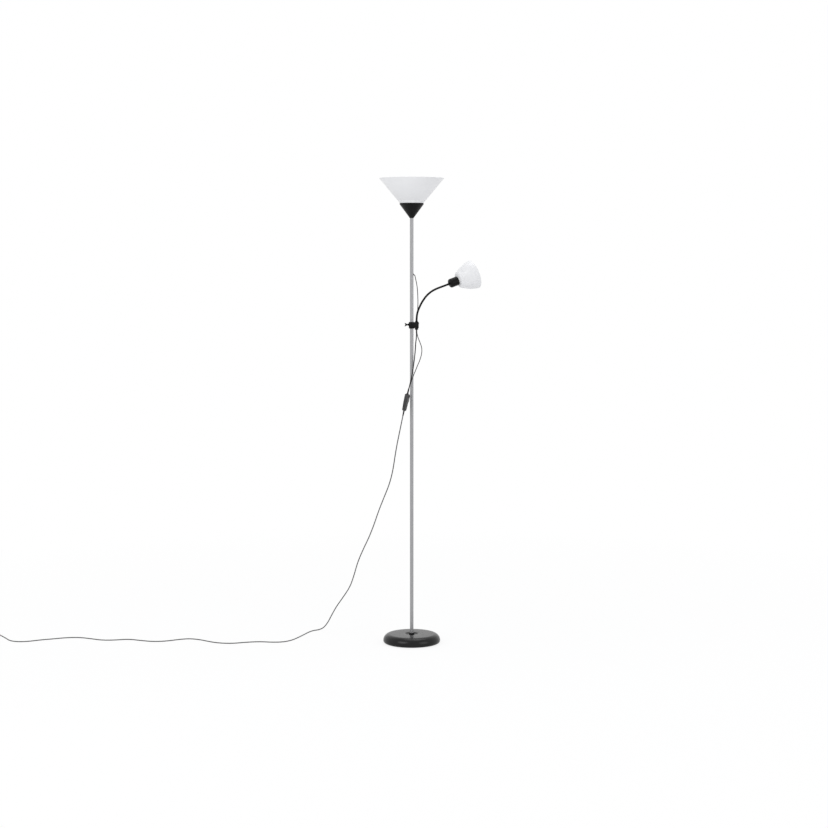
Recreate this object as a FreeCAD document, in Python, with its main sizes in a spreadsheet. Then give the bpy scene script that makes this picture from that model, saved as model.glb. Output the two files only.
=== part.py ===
import FreeCAD, Part
import math
import os

import Sketcher
from FreeCAD import Placement, Rotation, Vector

# Floor lamp with a conical uplight and a clamp-on reading light on a gooseneck.
# Millimetres and degrees. The origin is on the floor under the pole, +Z is up, +X is to the right.

DIMENSIONS = [
    # Base
    ("base_diameter", 219.5, "widest diameter of the base cover"),
    ("base_top", 37, "floor to the top face of the base"),
    ("base_shoulder", 25, "radius of the rounded shoulder"),
    ("base_curl", 9, "radius of the curled lower edge"),
    ("base_dish", 4, "depth of the hollow round the foot collar"),
    ("dish_radius", 30, "edge of that hollow"),
    ("dish_flat", 16, "flat floor of that hollow, radius"),
    ("cover_wall", 1.5, "sheet thickness of the base cover"),
    ("plate_wall", 1.5, "thickness of the bottom plate"),
    ("pad_height", 2, "thickness of the foot pads"),
    ("pad_diameter", 14, "foot pad diameter"),
    ("pad_inset", 23, "edge of the base to the middle of a foot pad"),
    ("fit_gap", 0.3, "clearance between parts that are laid in"),
    ("seat_gap", 0.2, "clearance under the foot collar"),
    ("recess_diameter", 28, "recess for the nut in the ballast"),
    ("recess_depth", 12, "depth of that recess"),
    ("spigot_flange", 2, "flange that the pole stands on"),
    ("collar_diameter", 20.5, "foot collar diameter"),
    ("collar_height", 7, "foot collar height"),
    ("stud_diameter", 10, "threads of the spigot and the lamp nipple"),
    ("spigot_length", 20, "spigot length inside the pole"),
    ("base_nut_height", 7, "height of the nut under the ballast"),
    ("base_nut_flats", 16, "width of that nut across its flats"),
    ("washer_diameter", 26, "washer over that nut"),
    ("washer_height", 2, "thickness of that washer"),
    # Pole
    ("pole_diameter", 13.5, "outer diameter of the pole tubes"),
    ("pole_wall", 1, "wall of the pole tubes"),
    ("coupler_length", 40, "threaded sleeve inside each joint of the pole"),
    ("press_gap", 0.05, "clearance of parts pressed or screwed into a bore"),
    ("bush_length", 18, "top bush inside the pole"),
    ("exit_height", 1417, "floor to the hole where the flex leaves the pole"),
    ("exit_angle", 41, "direction of that hole about the pole"),
    ("exit_hole", 7, "diameter of that hole"),
    ("grommet_reach", 8.3, "pole axis to the outer face of the grommet"),
    ("grommet_flange", 8.6, "flange diameter of the grommet"),
    ("flex_diameter", 3, "uplight flex"),
    ("flex_fit", 0.1, "clearance round a flex in its bore"),
    # Uplight
    ("cup_height", 56.5, "height of the black cone"),
    ("shade_height", 94, "height of the shade above the cone"),
    ("cup_foot", 14.5, "cone diameter at the pole"),
    ("cup_mouth", 89, "cone diameter under its rim band"),
    ("cup_band", 6, "height of the rim band"),
    ("cup_lip", 0.8, "how far the rim band stands out"),
    ("cup_wall", 1.8, "wall of the black cone"),
    ("cup_floor", 4, "thickness of its floor"),
    ("shade_top", 1780, "floor to the rim of the shade"),
    ("shade_rim", 245, "rim diameter of the shade"),
    ("shade_wall", 1.8, "wall of the shade"),
    ("shade_bead", 10, "height of the bead line above the shade's foot"),
    ("holder_diameter", 39, "uplight lampholder over its thread"),
    ("holder_flange", 49, "shoulder of that lampholder"),
    ("holder_bore", 27.6, "bore of that lampholder"),
    ("ring_height", 8, "height of the shade ring"),
    ("ring_flange", 52, "diameter of the shade ring"),
    ("nipple_reach", 24, "nipple length above the cone's floor"),
    ("nipple_nut_flats", 13, "width of the nipple nut across its flats"),
    ("nipple_nut_height", 4, "height of the nipple nut"),
    ("bulb_diameter", 60, "uplight lamp"),
    ("bulb_length", 104, "uplight lamp from contact to crown"),
    ("cap_diameter", 26, "screw cap of the uplight lamp"),
    ("cap_length", 26, "length of that cap"),
    # Clamp: heights are measured from the middle of the block
    ("clamp_height", 1225, "floor to the middle of the clamp block"),
    ("arm_angle", 22, "direction of the arm about the pole"),
    ("block_height", 23, "clamp block"),
    ("block_radius", 11, "block round the pole"),
    ("block_nose", 8.5, "block round the gooseneck's stem"),
    ("arm_offset", 20, "pole axis to gooseneck axis"),
    ("liner_wall", 1.05, "liner sleeve between pole and block"),
    ("liner_flange", 1.4, "thickness of the liner's lower flange"),
    ("slide_fit", 0.05, "running clearance of liner, screw and pins"),
    ("screw_diameter", 5, "wing screw"),
    ("screw_rise", 2, "wing screw above the middle of the block"),
    ("boss_diameter", 9, "boss that the wing screw runs in"),
    ("boss_reach", 14.5, "pole axis to the face of that boss"),
    ("wing_start", 17.5, "pole axis to the root of the wings"),
    ("wing_reach", 29.5, "pole axis to the tips of the wings"),
    ("wing_span", 13, "tip to tip across the wings"),
    ("wing_thickness", 2.4, "thickness of the wings"),
    ("shoe_thickness", 2, "pressure shoe at the tip of the screw"),
    ("dog_diameter", 2.4, "end of the screw that the shoe turns on"),
    ("stem_diameter", 8, "threaded stem of the lower ferrule"),
    ("neck_nut_flats", 12, "nut under the block, across its flats"),
    ("neck_nut_height", 6.5, "height of that nut"),
    ("sleeve_diameter", 5.4, "flex sleeve under the clamp"),
    ("sleeve_drop", 32, "middle of the block to the lower end of that sleeve"),
    ("grub_diameter", 4, "grub screw in the nose of the block"),
    ("grub_proud", 1.2, "how far the grub screw stands out"),
    ("grub_rise", 6, "grub screw above the middle of the block"),
    # Gooseneck
    ("neck_diameter", 8, "gooseneck links"),
    ("neck_pitch", 24, "ball to ball along one link"),
    ("neck_rise", 25, "middle of the block to the first ball"),
    ("ball_diameter", 6.4, "ball at the upper end of each link"),
    ("ball_gap", 0.3, "clearance round each ball"),
    ("link_neck", 3.8, "diameter behind each ball"),
    ("lip_depth", 1.29, "how far each socket reaches past the ball's middle"),
    ("neck_bore", 2.2, "wire channel through the links"),
    ("ferrule_diameter", 11, "collars at both ends of the gooseneck"),
    # Reading light: lengths run along its axis from the last ball
    ("head_collar", 8, "last ball to the collar of the upper ferrule"),
    ("can_start", 11, "last ball to the back of the black can"),
    ("can_length", 36, "length of the can"),
    ("can_diameter", 34.5, "diameter of the can"),
    ("can_wall", 1.6, "wall of the can"),
    ("can_round", 7, "rounded back edge of the can"),
    ("socket_diameter", 27, "reading lampholder over its thread"),
    ("socket_bore", 15, "bore of that lampholder"),
    ("socket_flange", 2, "flange of that lampholder"),
    ("bell_neck", 22, "flat of the bell, radius"),
    ("bell_shoulder", 34.5, "bell radius at the end of its shoulder"),
    ("bell_shoulder_length", 11, "length of the shoulder"),
    ("bell_mouth", 112, "mouth diameter of the bell"),
    ("bell_length", 71, "length of the bell"),
    ("bell_wall", 1.5, "wall of the bell"),
    ("bell_bulge", 140, "radius of the curve between shoulder and mouth"),
    ("bell_ring_height", 5, "ring that holds the bell"),
    ("bell_ring_flange", 36, "diameter of that ring"),
    ("globe_diameter", 44, "reading lamp"),
    ("globe_reach", 108, "last ball to the crown of that lamp"),
    ("globe_cap_diameter", 13.6, "screw cap of that lamp"),
    # Inline switch: lengths run along its axis from its middle
    ("switch_drop", 292.25, "middle of the clamp block down to the middle of the switch"),
    ("switch_left", 22.75, "pole axis to the middle of the switch, to the left"),
    ("switch_front", 28, "pole axis to the middle of the switch, to the front"),
    ("switch_length", 64, "inline switch"),
    ("switch_width", 20, "width at the middle"),
    ("switch_top_width", 19, "width at the flex end"),
    ("switch_tail_width", 13, "width at the lead end"),
    ("shell_depth", 6.25, "depth of each shell"),
    ("bezel_depth", 2, "how far the bezel stands out"),
    ("rocker_middle", 15.5, "middle of the switch to the rocker pins"),
    ("rocker_length", 23, "rocker"),
    ("rocker_width", 6.6, "rocker"),
    ("rocker_gap", 0.3, "clearance round each rocker"),
    ("rib_width", 1.6, "rib between the two rockers"),
    ("rocker_crest", 1.9, "rocker pin axis to the middle of its face"),
    ("rocker_horn", 3, "rocker pin axis to the tips of its face"),
    ("rocker_travel", 16, "angle between the two positions of a rocker"),
    ("pin_diameter", 2, "rocker pins"),
    ("flex_spread", 6.4, "between the two flexes at the switch"),
    ("reading_flex_diameter", 4, "reading-light flex"),
    ("lead_diameter", 4, "mains lead"),
    ("screw_head", 4.4, "switch screws, head"),
    ("screw_shank", 2.2, "switch screws, shank"),
    ("shell_wall", 1.5, "wall of the rear shell"),
    ("well_floor", 2, "parting plane to the floor under the rockers"),
    ("relief_length", 20, "tapered relief on the lead"),
    ("relief_root", 7, "diameter of that relief at its root"),
    ("relief_wall", 0.8, "wall of that relief at its tip"),
    # Put-away end of the lead
    ("coil_radius", 22, "middle of the turns"),
    ("coil_turns", 1.43, "turns of the coil"),
    ("coil_layer", 4.5, "height of one layer"),
    ("coil_rise_start", 0.45, "turns before the cord starts to climb"),
    ("coil_rise", 0.53, "turns of that climb"),
    ("coil_lift", 1.3, "how far the tie lifts the coil off the floor"),
    ("tie_width", 6, "tie round the coil"),
    ("tie_wall", 0.8, "thickness of that tie"),
    ("plug_width", 35, "plug"),
    ("plug_depth", 13.6, "plug"),
    ("plug_body", 33, "length of the plug without its relief"),
    ("plug_pin_diameter", 4, "bare end of a pin"),
    ("plug_pin_bare", 8, "length of that end without its tip"),
    ("plug_pin_sleeve", 3.5, "sleeved part of a pin, diameter"),
    ("plug_pin_length", 19, "pins of the plug"),
    ("plug_pin_pitch", 18.6, "between the pins"),
]

doc = FreeCAD.newDocument("floor_lamp")
sheet = doc.addObject("Spreadsheet::Sheet", "Sizes")


class Size:
    """A dimension that knows its number and the sheet expression it comes from."""

    def __init__(self, number, text):
        self.number = float(number)
        self.text = text

    def __add__(self, other):
        return Size(self.number + number(other), f"({self.text} + {text(other)})")

    def __radd__(self, other):
        return Size(number(other) + self.number, f"({text(other)} + {self.text})")

    def __sub__(self, other):
        return Size(self.number - number(other), f"({self.text} - {text(other)})")

    def __rsub__(self, other):
        return Size(number(other) - self.number, f"({text(other)} - {self.text})")

    def __mul__(self, other):
        return Size(self.number * number(other), f"({self.text} * {text(other)})")

    __rmul__ = __mul__

    def __truediv__(self, other):
        return Size(self.number / number(other), f"({self.text} / {text(other)})")

    def __neg__(self):
        return Size(-self.number, f"(0 - {self.text})")


def number(value):
    return value.number if isinstance(value, Size) else float(value)


def text(value):
    return value.text if isinstance(value, Size) else f"{float(value):.9g}"


def root(value):
    return Size(math.sqrt(number(value)), f"sqrt({text(value)})")


class Named:
    """The dimensions by name."""


d = Named()
for row, (alias, value, meaning) in enumerate(DIMENSIONS, 1):
    sheet.set(f"A{row}", str(value))
    sheet.setAlias(f"A{row}", alias)
    sheet.set(f"B{row}", meaning)
    setattr(d, alias, Size(value, f"Sizes.{alias}"))
d.pole_top = d.shade_top - d.shade_height - d.cup_height
d.switch_height = d.clamp_height - d.switch_drop
doc.recompute()

pieces = []

# ---------------------------------------------------------------------------------------------------------
# Ways of making a piece
# ---------------------------------------------------------------------------------------------------------


def bind(feature, name, value):
    setattr(feature, name, number(value))
    if isinstance(value, Size):
        feature.setExpression(name, value.text)


def new_body(label):
    body = doc.addObject("PartDesign::Body", label)
    body.Label = label
    pieces.append(body)
    return body


def add_sketch(body, plane, name):
    sketch = body.newObject("Sketcher::SketchObject", name)
    faces = [f for f in body.Origin.OriginFeatures if f.Role == plane]
    sketch.AttachmentSupport = (faces[0], [""])
    sketch.MapMode = "FlatFace"
    sketch.Visibility = False
    return sketch


def pin_point(sketch, edge, end, x, y):
    """Hold one end of an edge at x, y, each bound to its sheet expression."""
    for kind, value, axis in (("DistanceX", x, -2), ("DistanceY", y, -1)):
        if not isinstance(value, Size) and value == 0:
            sketch.addConstraint(Sketcher.Constraint("PointOnObject", edge, end, axis))
            continue
        index = sketch.addConstraint(Sketcher.Constraint(kind, -1, 1, edge, end, number(value)))
        if isinstance(value, Size):
            sketch.setExpression(f"Constraints[{index}]", value.text)


def draw_outline(sketch, corners):
    """A closed outline through corners (x, y). A third value is the radius of the arc that arrives there:
    positive where the arc turns to the left, negative where it turns to the right."""
    spots = [Vector(number(c[0]), number(c[1]), 0) for c in corners]
    first = sketch.GeometryCount
    tips = []
    for i, corner in enumerate(corners):
        start, end = spots[i - 1], spots[i]
        if len(corner) == 2:
            sketch.addGeometry(Part.LineSegment(start, end))
            tips.append((1, 2))
            continue
        bend = number(corner[2])
        chord = end - start
        rise = math.sqrt(max(bend**2 - chord.Length**2 / 4, 0))
        left = Vector(-chord.y, chord.x, 0) / chord.Length
        middle = (start + end) / 2 + left * math.copysign(rise, bend)
        ends = [start, end] if bend > 0 else [end, start]
        angles = [math.atan2(p.y - middle.y, p.x - middle.x) for p in ends]
        if angles[1] < angles[0]:
            angles[1] += 2 * math.pi
        circle = Part.Circle(middle, Vector(0, 0, 1), abs(bend))
        sketch.addGeometry(Part.ArcOfCircle(circle, *angles))
        tips.append((1, 2) if bend > 0 else (2, 1))
    for i, corner in enumerate(corners):
        following = (i + 1) % len(corners)
        joined = (first + i, tips[i][1], first + following, tips[following][0])
        sketch.addConstraint(Sketcher.Constraint("Coincident", *joined))
        pin_point(sketch, first + i, tips[i][1], corner[0], corner[1])
        if len(corner) == 3:
            index = sketch.addConstraint(Sketcher.Constraint("Radius", first + i, abs(number(corner[2]))))
            if isinstance(corner[2], Size):
                size = corner[2] if corner[2].number > 0 else -corner[2]
                sketch.setExpression(f"Constraints[{index}]", size.text)


def draw_circle(sketch, x, y, radius):
    centre = Vector(number(x), number(y), 0)
    edge = sketch.addGeometry(Part.Circle(centre, Vector(0, 0, 1), number(radius)))
    pin_point(sketch, edge, 3, x, y)
    index = sketch.addConstraint(Sketcher.Constraint("Radius", edge, number(radius)))
    if isinstance(radius, Size):
        sketch.setExpression(f"Constraints[{index}]", radius.text)


def turned(label, corners, placement=None):
    """A body of revolution about its own Z axis; corners are (radius, height)."""
    body = new_body(label)
    sketch = add_sketch(body, "XZ_Plane", label + "_profile")
    draw_outline(sketch, corners)
    spin = body.newObject("PartDesign::Revolution", label + "_turned")
    spin.Profile = sketch
    spin.ReferenceAxis = (sketch, ["V_Axis"])
    spin.Angle = 360
    if placement:
        body.Placement = placement
    return body


def raise_sketch(sketch, offset):
    """Move a sketch along its own normal."""
    sketch.AttachmentOffset = Placement(Vector(0, 0, number(offset)), Rotation())
    if isinstance(offset, Size):
        sketch.setExpression("AttachmentOffset.Base.z", offset.text)


def pad(body, plane, name, length, draw, midplane=False, backwards=False, offset=0):
    sketch = add_sketch(body, plane, name + "_sketch")
    raise_sketch(sketch, offset)
    draw(sketch)
    feature = body.newObject("PartDesign::Pad", name)
    feature.Profile = sketch
    bind(feature, "Length", length)
    feature.Midplane = midplane
    feature.Reversed = backwards
    doc.recompute()
    return feature


def cut(body, plane, name, draw, length=None, midplane=False, backwards=False, offset=0):
    """A pocket; through everything where no length is given. Stops the build if it removes nothing."""
    before = body.Shape.Volume
    sketch = add_sketch(body, plane, name + "_sketch")
    raise_sketch(sketch, offset)
    draw(sketch)
    feature = body.newObject("PartDesign::Pocket", name)
    feature.Profile = sketch
    if length is None:
        feature.Type = "ThroughAll"
    else:
        bind(feature, "Length", length)
    feature.Midplane = midplane
    feature.Reversed = backwards
    doc.recompute()
    if not body.Shape.Volume < before:
        raise ValueError(f"{name} removes nothing")
    return feature


def edges_where(shape, test):
    return [f"Edge{i}" for i, edge in enumerate(shape.Edges, 1) if test(edge)]


def rounded(body, name, radius, test):
    """Round the edges of the body's last feature that pass the test."""
    doc.recompute()
    base = body.Tip
    feature = body.newObject("PartDesign::Fillet", name)
    feature.Base = (base, edges_where(base.Shape, test))
    bind(feature, "Radius", radius)
    doc.recompute()


def hexagon(flats):
    """Corners of a hexagon, as a size across its flats."""
    half = flats / 2
    reach = flats / math.sqrt(3)
    return [(reach, 0), (reach / 2, half), (-reach / 2, half), (-reach, 0), (-reach / 2, -half), (reach / 2, -half)]


def made_in_code(label, shape):
    feature = doc.addObject("Part::Feature", label)
    feature.Label = label
    feature.Shape = shape
    feature.Placement = Placement()
    pieces.append(feature)


def at(x=0, y=0, z=0, turn=None):
    return Placement(Vector(number(x), number(y), number(z)), turn or Rotation())


ABOUT_X = Vector(1, 0, 0)
ABOUT_Y = Vector(0, 1, 0)
ABOUT_Z = Vector(0, 0, 1)

# ---------------------------------------------------------------------------------------------------------
# Base
# ---------------------------------------------------------------------------------------------------------

half_base = d.base_diameter / 2
flat_edge = half_base - d.base_shoulder
shoulder_foot = d.base_top - d.base_shoulder
curl_edge = half_base - d.base_curl
curl_top = d.pad_height + d.base_curl
dish_floor = d.base_top - d.base_dish
stud_hole = d.stud_diameter / 2 + d.fit_gap
stud_bore = d.stud_diameter / 2 + d.press_gap
recess = d.recess_diameter / 2

half_dish = d.base_dish / 2
dish_middle = (d.dish_flat + d.dish_radius) / 2
dish_slope = dish_middle - d.dish_flat
dish_arc = (dish_slope * dish_slope / half_dish + half_dish) / 2

turned("base_cover", [
    (stud_hole, dish_floor),
    (d.dish_flat, dish_floor),
    (dish_middle, dish_floor + half_dish, dish_arc),
    (d.dish_radius, d.base_top, -dish_arc),
    (flat_edge, d.base_top),
    (half_base, shoulder_foot, -d.base_shoulder),
    (half_base, curl_top),
    (curl_edge, d.pad_height, -d.base_curl),
    (curl_edge, d.pad_height + d.cover_wall),
    (half_base - d.cover_wall, curl_top, d.base_curl - d.cover_wall),
    (half_base - d.cover_wall, shoulder_foot),
    (flat_edge, d.base_top - d.cover_wall, d.base_shoulder - d.cover_wall),
    (d.dish_radius, d.base_top - d.cover_wall),
    (dish_middle, dish_floor + half_dish - d.cover_wall, dish_arc),
    (d.dish_flat, dish_floor - d.cover_wall, -dish_arc),
    (stud_hole, dish_floor - d.cover_wall),
])

lining = d.cover_wall + d.fit_gap
plate_top = d.pad_height + d.plate_wall
ballast_foot = plate_top + d.fit_gap
recess_roof = ballast_foot + d.recess_depth

turned("base_weight", [
    (recess, ballast_foot),
    (curl_edge - d.fit_gap, ballast_foot),
    (half_base - lining, curl_top),
    (half_base - lining, shoulder_foot),
    (flat_edge, d.base_top - lining, d.base_shoulder - lining),
    (d.dish_radius + 2, d.base_top - lining),
    (d.dish_flat + 2, dish_floor - lining),
    (stud_hole, dish_floor - lining),
    (stud_hole, recess_roof),
    (recess, recess_roof),
])

turned("base_plate", [
    (recess, d.pad_height),
    (curl_edge - d.fit_gap, d.pad_height),
    (curl_edge - d.fit_gap, plate_top),
    (recess, plate_top),
])


def cylinder(name, radius, height, placement):
    """A primitive to be joined or cut; not a piece of its own."""
    feature = doc.addObject("Part::Cylinder", name)
    bind(feature, "Radius", radius)
    bind(feature, "Height", height)
    feature.Placement = placement
    return feature


def joined(kind, name, base, tool):
    feature = doc.addObject(kind, name)
    feature.Base = base
    feature.Tool = tool
    return feature


def group(label, members):
    """Several like pieces in one node."""
    compound = doc.addObject("Part::Compound", label)
    compound.Label = label
    compound.Links = members
    pieces.append(compound)


PAD_COUNT = 6
pads = []
for i in range(PAD_COUNT):
    spot = Rotation(ABOUT_Z, i * 360 / PAD_COUNT).multVec(Vector(number(half_base - d.pad_inset), 0, 0))
    pads.append(cylinder(f"pad_{i + 1}", d.pad_diameter / 2, d.pad_height, Placement(spot, Rotation())))
pads.append(cylinder("pad_middle", recess + 3, d.pad_height, Placement()))
group("foot_pads", pads)

pole_radius = d.pole_diameter / 2
pole_bore = pole_radius - d.pole_wall
plug_radius = pole_bore - d.press_gap
pole_foot = dish_floor + d.spigot_flange
nut_roof = recess_roof - d.washer_height
nut_foot = nut_roof - d.base_nut_height

turned("foot_spigot", [
    (0, nut_foot - d.fit_gap),
    (d.stud_diameter / 2, nut_foot - d.fit_gap),
    (d.stud_diameter / 2, dish_floor),
    (pole_radius, dish_floor + d.seat_gap / 2),
    (pole_radius, pole_foot),
    (plug_radius, pole_foot),
    (plug_radius, pole_foot + d.spigot_length - d.spigot_flange),
    (plug_radius - 1, pole_foot + d.spigot_length),
    (0, pole_foot + d.spigot_length),
])

turned("foot_collar", [
    (pole_radius + d.press_gap, dish_floor + d.seat_gap),
    (d.collar_diameter / 2, dish_floor + d.seat_gap),
    (d.collar_diameter / 2, dish_floor + d.collar_height - 1.5),
    (d.collar_diameter / 2 - 1.5, dish_floor + d.collar_height, 1.5),
    (pole_radius + d.press_gap, dish_floor + d.collar_height),
])

base_nut = new_body("base_nut")
base_nut.Placement = at(z=nut_foot)
pad(base_nut, "XY_Plane", "base_nut_hexagon", d.base_nut_height + d.washer_height,
    lambda s: draw_outline(s, hexagon(d.base_nut_flats)))
pad(base_nut, "XY_Plane", "base_nut_flange", d.washer_height,
    lambda s: draw_circle(s, 0, 0, d.washer_diameter / 2), offset=d.base_nut_height)
cut(base_nut, "XY_Plane", "base_nut_bore", lambda s: draw_circle(s, 0, 0, stud_bore), backwards=True)

# ---------------------------------------------------------------------------------------------------------
# Pole
# ---------------------------------------------------------------------------------------------------------

SECTIONS = ["pole_tube_lower", "pole_tube_middle", "pole_tube_upper"]
section_length = (d.pole_top - pole_foot) / len(SECTIONS)
for i, label in enumerate(SECTIONS):
    low = pole_foot + section_length * i
    high = pole_foot + section_length * (i + 1)
    tube = turned(label, [(pole_bore, low), (pole_radius, low), (pole_radius, high), (pole_bore, high)])

# The last tube is the upper one; it is turned so that its own X axis points at the flex hole.
tube.Placement = at(turn=Rotation(ABOUT_Z, number(d.exit_angle)))
doc.recompute()
cut(tube, "YZ_Plane", "flex_hole", lambda s: draw_circle(s, 0, d.exit_height, d.exit_hole / 2),
    length=d.pole_diameter, backwards=True)

couplers = []
for i in range(1, len(SECTIONS)):
    low = at(z=pole_foot + section_length * i - d.coupler_length / 2)
    outside = cylinder(f"coupler_{i}_outside", plug_radius, d.coupler_length, low)
    inside = cylinder(f"coupler_{i}_inside", stud_bore, d.coupler_length, low)
    couplers.append(joined("Part::Cut", f"coupler_{i}", outside, inside))
group("pole_couplers", couplers)

turned("pole_top_bush", [
    (stud_bore, d.pole_top - d.bush_length),
    (plug_radius, d.pole_top - d.bush_length),
    (plug_radius, d.pole_top),
    (stud_bore, d.pole_top),
])

exit_turn = Rotation(ABOUT_Z, number(d.exit_angle))
grommet_frame = at(z=d.exit_height, turn=exit_turn * Rotation(ABOUT_Y, 90))
grommet_bore = d.flex_diameter / 2 + d.flex_fit / 2
grommet_body = d.exit_hole / 2 - d.press_gap
turned("flex_grommet", [
    (grommet_bore, pole_bore),
    (grommet_body, pole_bore),
    (grommet_body, pole_radius + d.press_gap),
    (d.grommet_flange / 2, pole_radius + d.press_gap),
    (d.grommet_flange / 2 - 0.8, d.grommet_reach),
    (grommet_bore, d.grommet_reach),
], grommet_frame)

# ---------------------------------------------------------------------------------------------------------
# Uplight
# ---------------------------------------------------------------------------------------------------------

cup_foot = d.cup_foot / 2
cup_mouth = d.cup_mouth / 2
cup_top = d.pole_top + d.cup_height
band_foot = cup_top - d.cup_band
cup_slope = (cup_mouth - cup_foot) / (d.cup_height - d.cup_band)
cup_skin = d.cup_wall * root(cup_slope * cup_slope + 1)
cup_floor_top = d.pole_top + d.cup_floor
band = cup_mouth + d.cup_lip

turned("uplight_cup", [
    (stud_hole, d.pole_top),
    (cup_foot, d.pole_top),
    (cup_mouth, band_foot),
    (band, band_foot),
    (band, cup_top),
    (cup_mouth + cup_slope * d.cup_band - cup_skin - 2, cup_top),
    (cup_foot + cup_slope * d.cup_floor - cup_skin, cup_floor_top),
    (stud_hole, cup_floor_top),
])

nipple_top = d.pole_top + d.nipple_reach
nipple_bore = d.stud_diameter / 2 - 1.6
turned("uplight_nipple", [
    (nipple_bore, d.pole_top - d.bush_length),
    (d.stud_diameter / 2, d.pole_top - d.bush_length),
    (d.stud_diameter / 2, nipple_top),
    (nipple_bore, nipple_top),
])

nipple_nut = new_body("nipple_nut")
nipple_nut.Placement = at(z=cup_floor_top)
pad(nipple_nut, "XY_Plane", "nipple_nut_hexagon", d.nipple_nut_height,
    lambda s: draw_outline(s, hexagon(d.nipple_nut_flats)))
cut(nipple_nut, "XY_Plane", "nipple_nut_bore", lambda s: draw_circle(s, 0, 0, stud_bore), backwards=True)

holder = d.holder_diameter / 2
holder_bore = d.holder_bore / 2
holder_top = cup_top + 16
holder_foot = nipple_top - 10
socket_floor = nipple_top + 6
turned("uplight_holder", [
    (stud_bore, holder_foot),
    (9, holder_foot),
    (9, holder_foot + 6),
    (holder, holder_foot + 15),
    (holder, cup_top - 2),
    (d.holder_flange / 2, cup_top - 2),
    (d.holder_flange / 2, cup_top),
    (holder, cup_top),
    (holder, holder_top),
    (holder_bore, holder_top),
    (holder_bore, socket_floor),
    (nipple_bore, socket_floor),
    (nipple_bore, nipple_top),
    (stud_bore, nipple_top),
])

contact = holder_bore - d.press_gap
contact_wall = 0.4
turned("uplight_contact_shell", [
    (4, socket_floor),
    (contact, socket_floor),
    (contact, socket_floor + 28),
    (contact - contact_wall, socket_floor + 28),
    (contact - contact_wall, socket_floor + contact_wall),
    (4, socket_floor + contact_wall),
])

shade_floor_top = cup_top + d.shade_wall
ring_bore = holder + d.press_gap
turned("shade_ring", [
    (ring_bore, shade_floor_top),
    (d.ring_flange / 2, shade_floor_top),
    (d.ring_flange / 2, shade_floor_top + 2),
    (holder + 3, shade_floor_top + 2),
    (holder + 3, shade_floor_top + d.ring_height),
    (ring_bore, shade_floor_top + d.ring_height),
])

shade_rim = d.shade_rim / 2
shade_slope = (shade_rim - band) / (d.shade_top - cup_top)
shade_skin = d.shade_wall * root(shade_slope * shade_slope + 1)
bead_step = 0.6
turned("uplight_shade", [
    (ring_bore, cup_top),
    (band, cup_top),
    (band + shade_slope * d.shade_bead - bead_step, cup_top + d.shade_bead),
    (band + shade_slope * d.shade_bead, cup_top + d.shade_bead),
    (shade_rim, d.shade_top - d.shade_wall / 2),
    (shade_rim - shade_skin, d.shade_top - d.shade_wall / 2, d.shade_wall * 0.7),
    (band + shade_slope * d.shade_wall - shade_skin, shade_floor_top),
    (ring_bore, shade_floor_top),
])

bulb_foot = socket_floor + 3
bulb_top = bulb_foot + d.bulb_length
bulb_neck = bulb_foot + d.cap_length
cap = d.cap_diameter / 2
turned("uplight_bulb_cap", [
    (0, bulb_foot),
    (4, bulb_foot),
    (cap, bulb_foot + 4),
    (cap, bulb_neck),
    (0, bulb_neck),
])

glass_wall = 1
bulb = d.bulb_diameter / 2
turned("uplight_bulb", [
    (cap - 0.5, bulb_neck),
    (cap + 0.2, bulb_neck + 12),
    (cap + 5, bulb_neck + 20),
    (bulb, bulb_top - bulb, 48),
    (0, bulb_top, bulb),
    (0, bulb_top - glass_wall),
    (bulb - glass_wall, bulb_top - bulb, glass_wall - bulb),
    (cap + 5 - glass_wall, bulb_neck + 20, -48),
    (cap + 0.2 - glass_wall, bulb_neck + 12),
    (cap - 0.5 - glass_wall, bulb_neck),
])

# ---------------------------------------------------------------------------------------------------------
# Clamp. Its frame is turned to the arm's direction: X runs from the pole to the gooseneck.
# ---------------------------------------------------------------------------------------------------------

arm_frame = at(z=d.clamp_height, turn=Rotation(ABOUT_Z, number(d.arm_angle)))
half_block = d.block_height / 2
liner_bore = pole_radius + d.slide_fit
liner_radius = liner_bore + d.liner_wall

turned("clamp_liner", [
    (liner_bore, -half_block - d.liner_flange - d.slide_fit),
    (liner_radius + 1.7, -half_block - d.liner_flange - d.slide_fit),
    (liner_radius + 1.7, -half_block - d.slide_fit),
    (liner_radius, -half_block - d.slide_fit),
    (liner_radius, half_block + 0.5),
    (liner_bore, half_block + 0.5),
], arm_frame)

swell = d.block_radius
nose = d.block_nose
lean = (swell - nose) / d.arm_offset
flank = root(1 - lean * lean)
clamp_block = new_body("clamp_block")
clamp_block.Placement = arm_frame
pad(clamp_block, "XY_Plane", "block_blank", d.block_height, lambda s: draw_outline(s, [
    (-swell, 0, swell),
    (swell * lean, -(swell * flank), swell),
    (d.arm_offset + nose * lean, -(nose * flank)),
    (d.arm_offset + nose, 0, nose),
    (d.arm_offset + nose * lean, nose * flank, nose),
    (swell * lean, swell * flank),
]), midplane=True)
rounded(clamp_block, "block_rounding", 1.5, lambda e: abs(e.BoundBox.ZLength) < 0.01)
pad(clamp_block, "YZ_Plane", "screw_boss", d.boss_reach,
    lambda s: draw_circle(s, 0, d.screw_rise, d.boss_diameter / 2), backwards=True)
cut(clamp_block, "XY_Plane", "pole_bore", lambda s: draw_circle(s, 0, 0, liner_radius + d.slide_fit), midplane=True)
stem_bore = d.stem_diameter / 2 + d.press_gap
cut(clamp_block, "XY_Plane", "stem_bore", lambda s: draw_circle(s, d.arm_offset, 0, stem_bore), midplane=True)
screw_bore = d.screw_diameter / 2 + d.slide_fit
cut(clamp_block, "YZ_Plane", "screw_bore", lambda s: draw_circle(s, 0, d.screw_rise, screw_bore))
grub_bore = d.grub_diameter / 2 + d.press_gap
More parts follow.
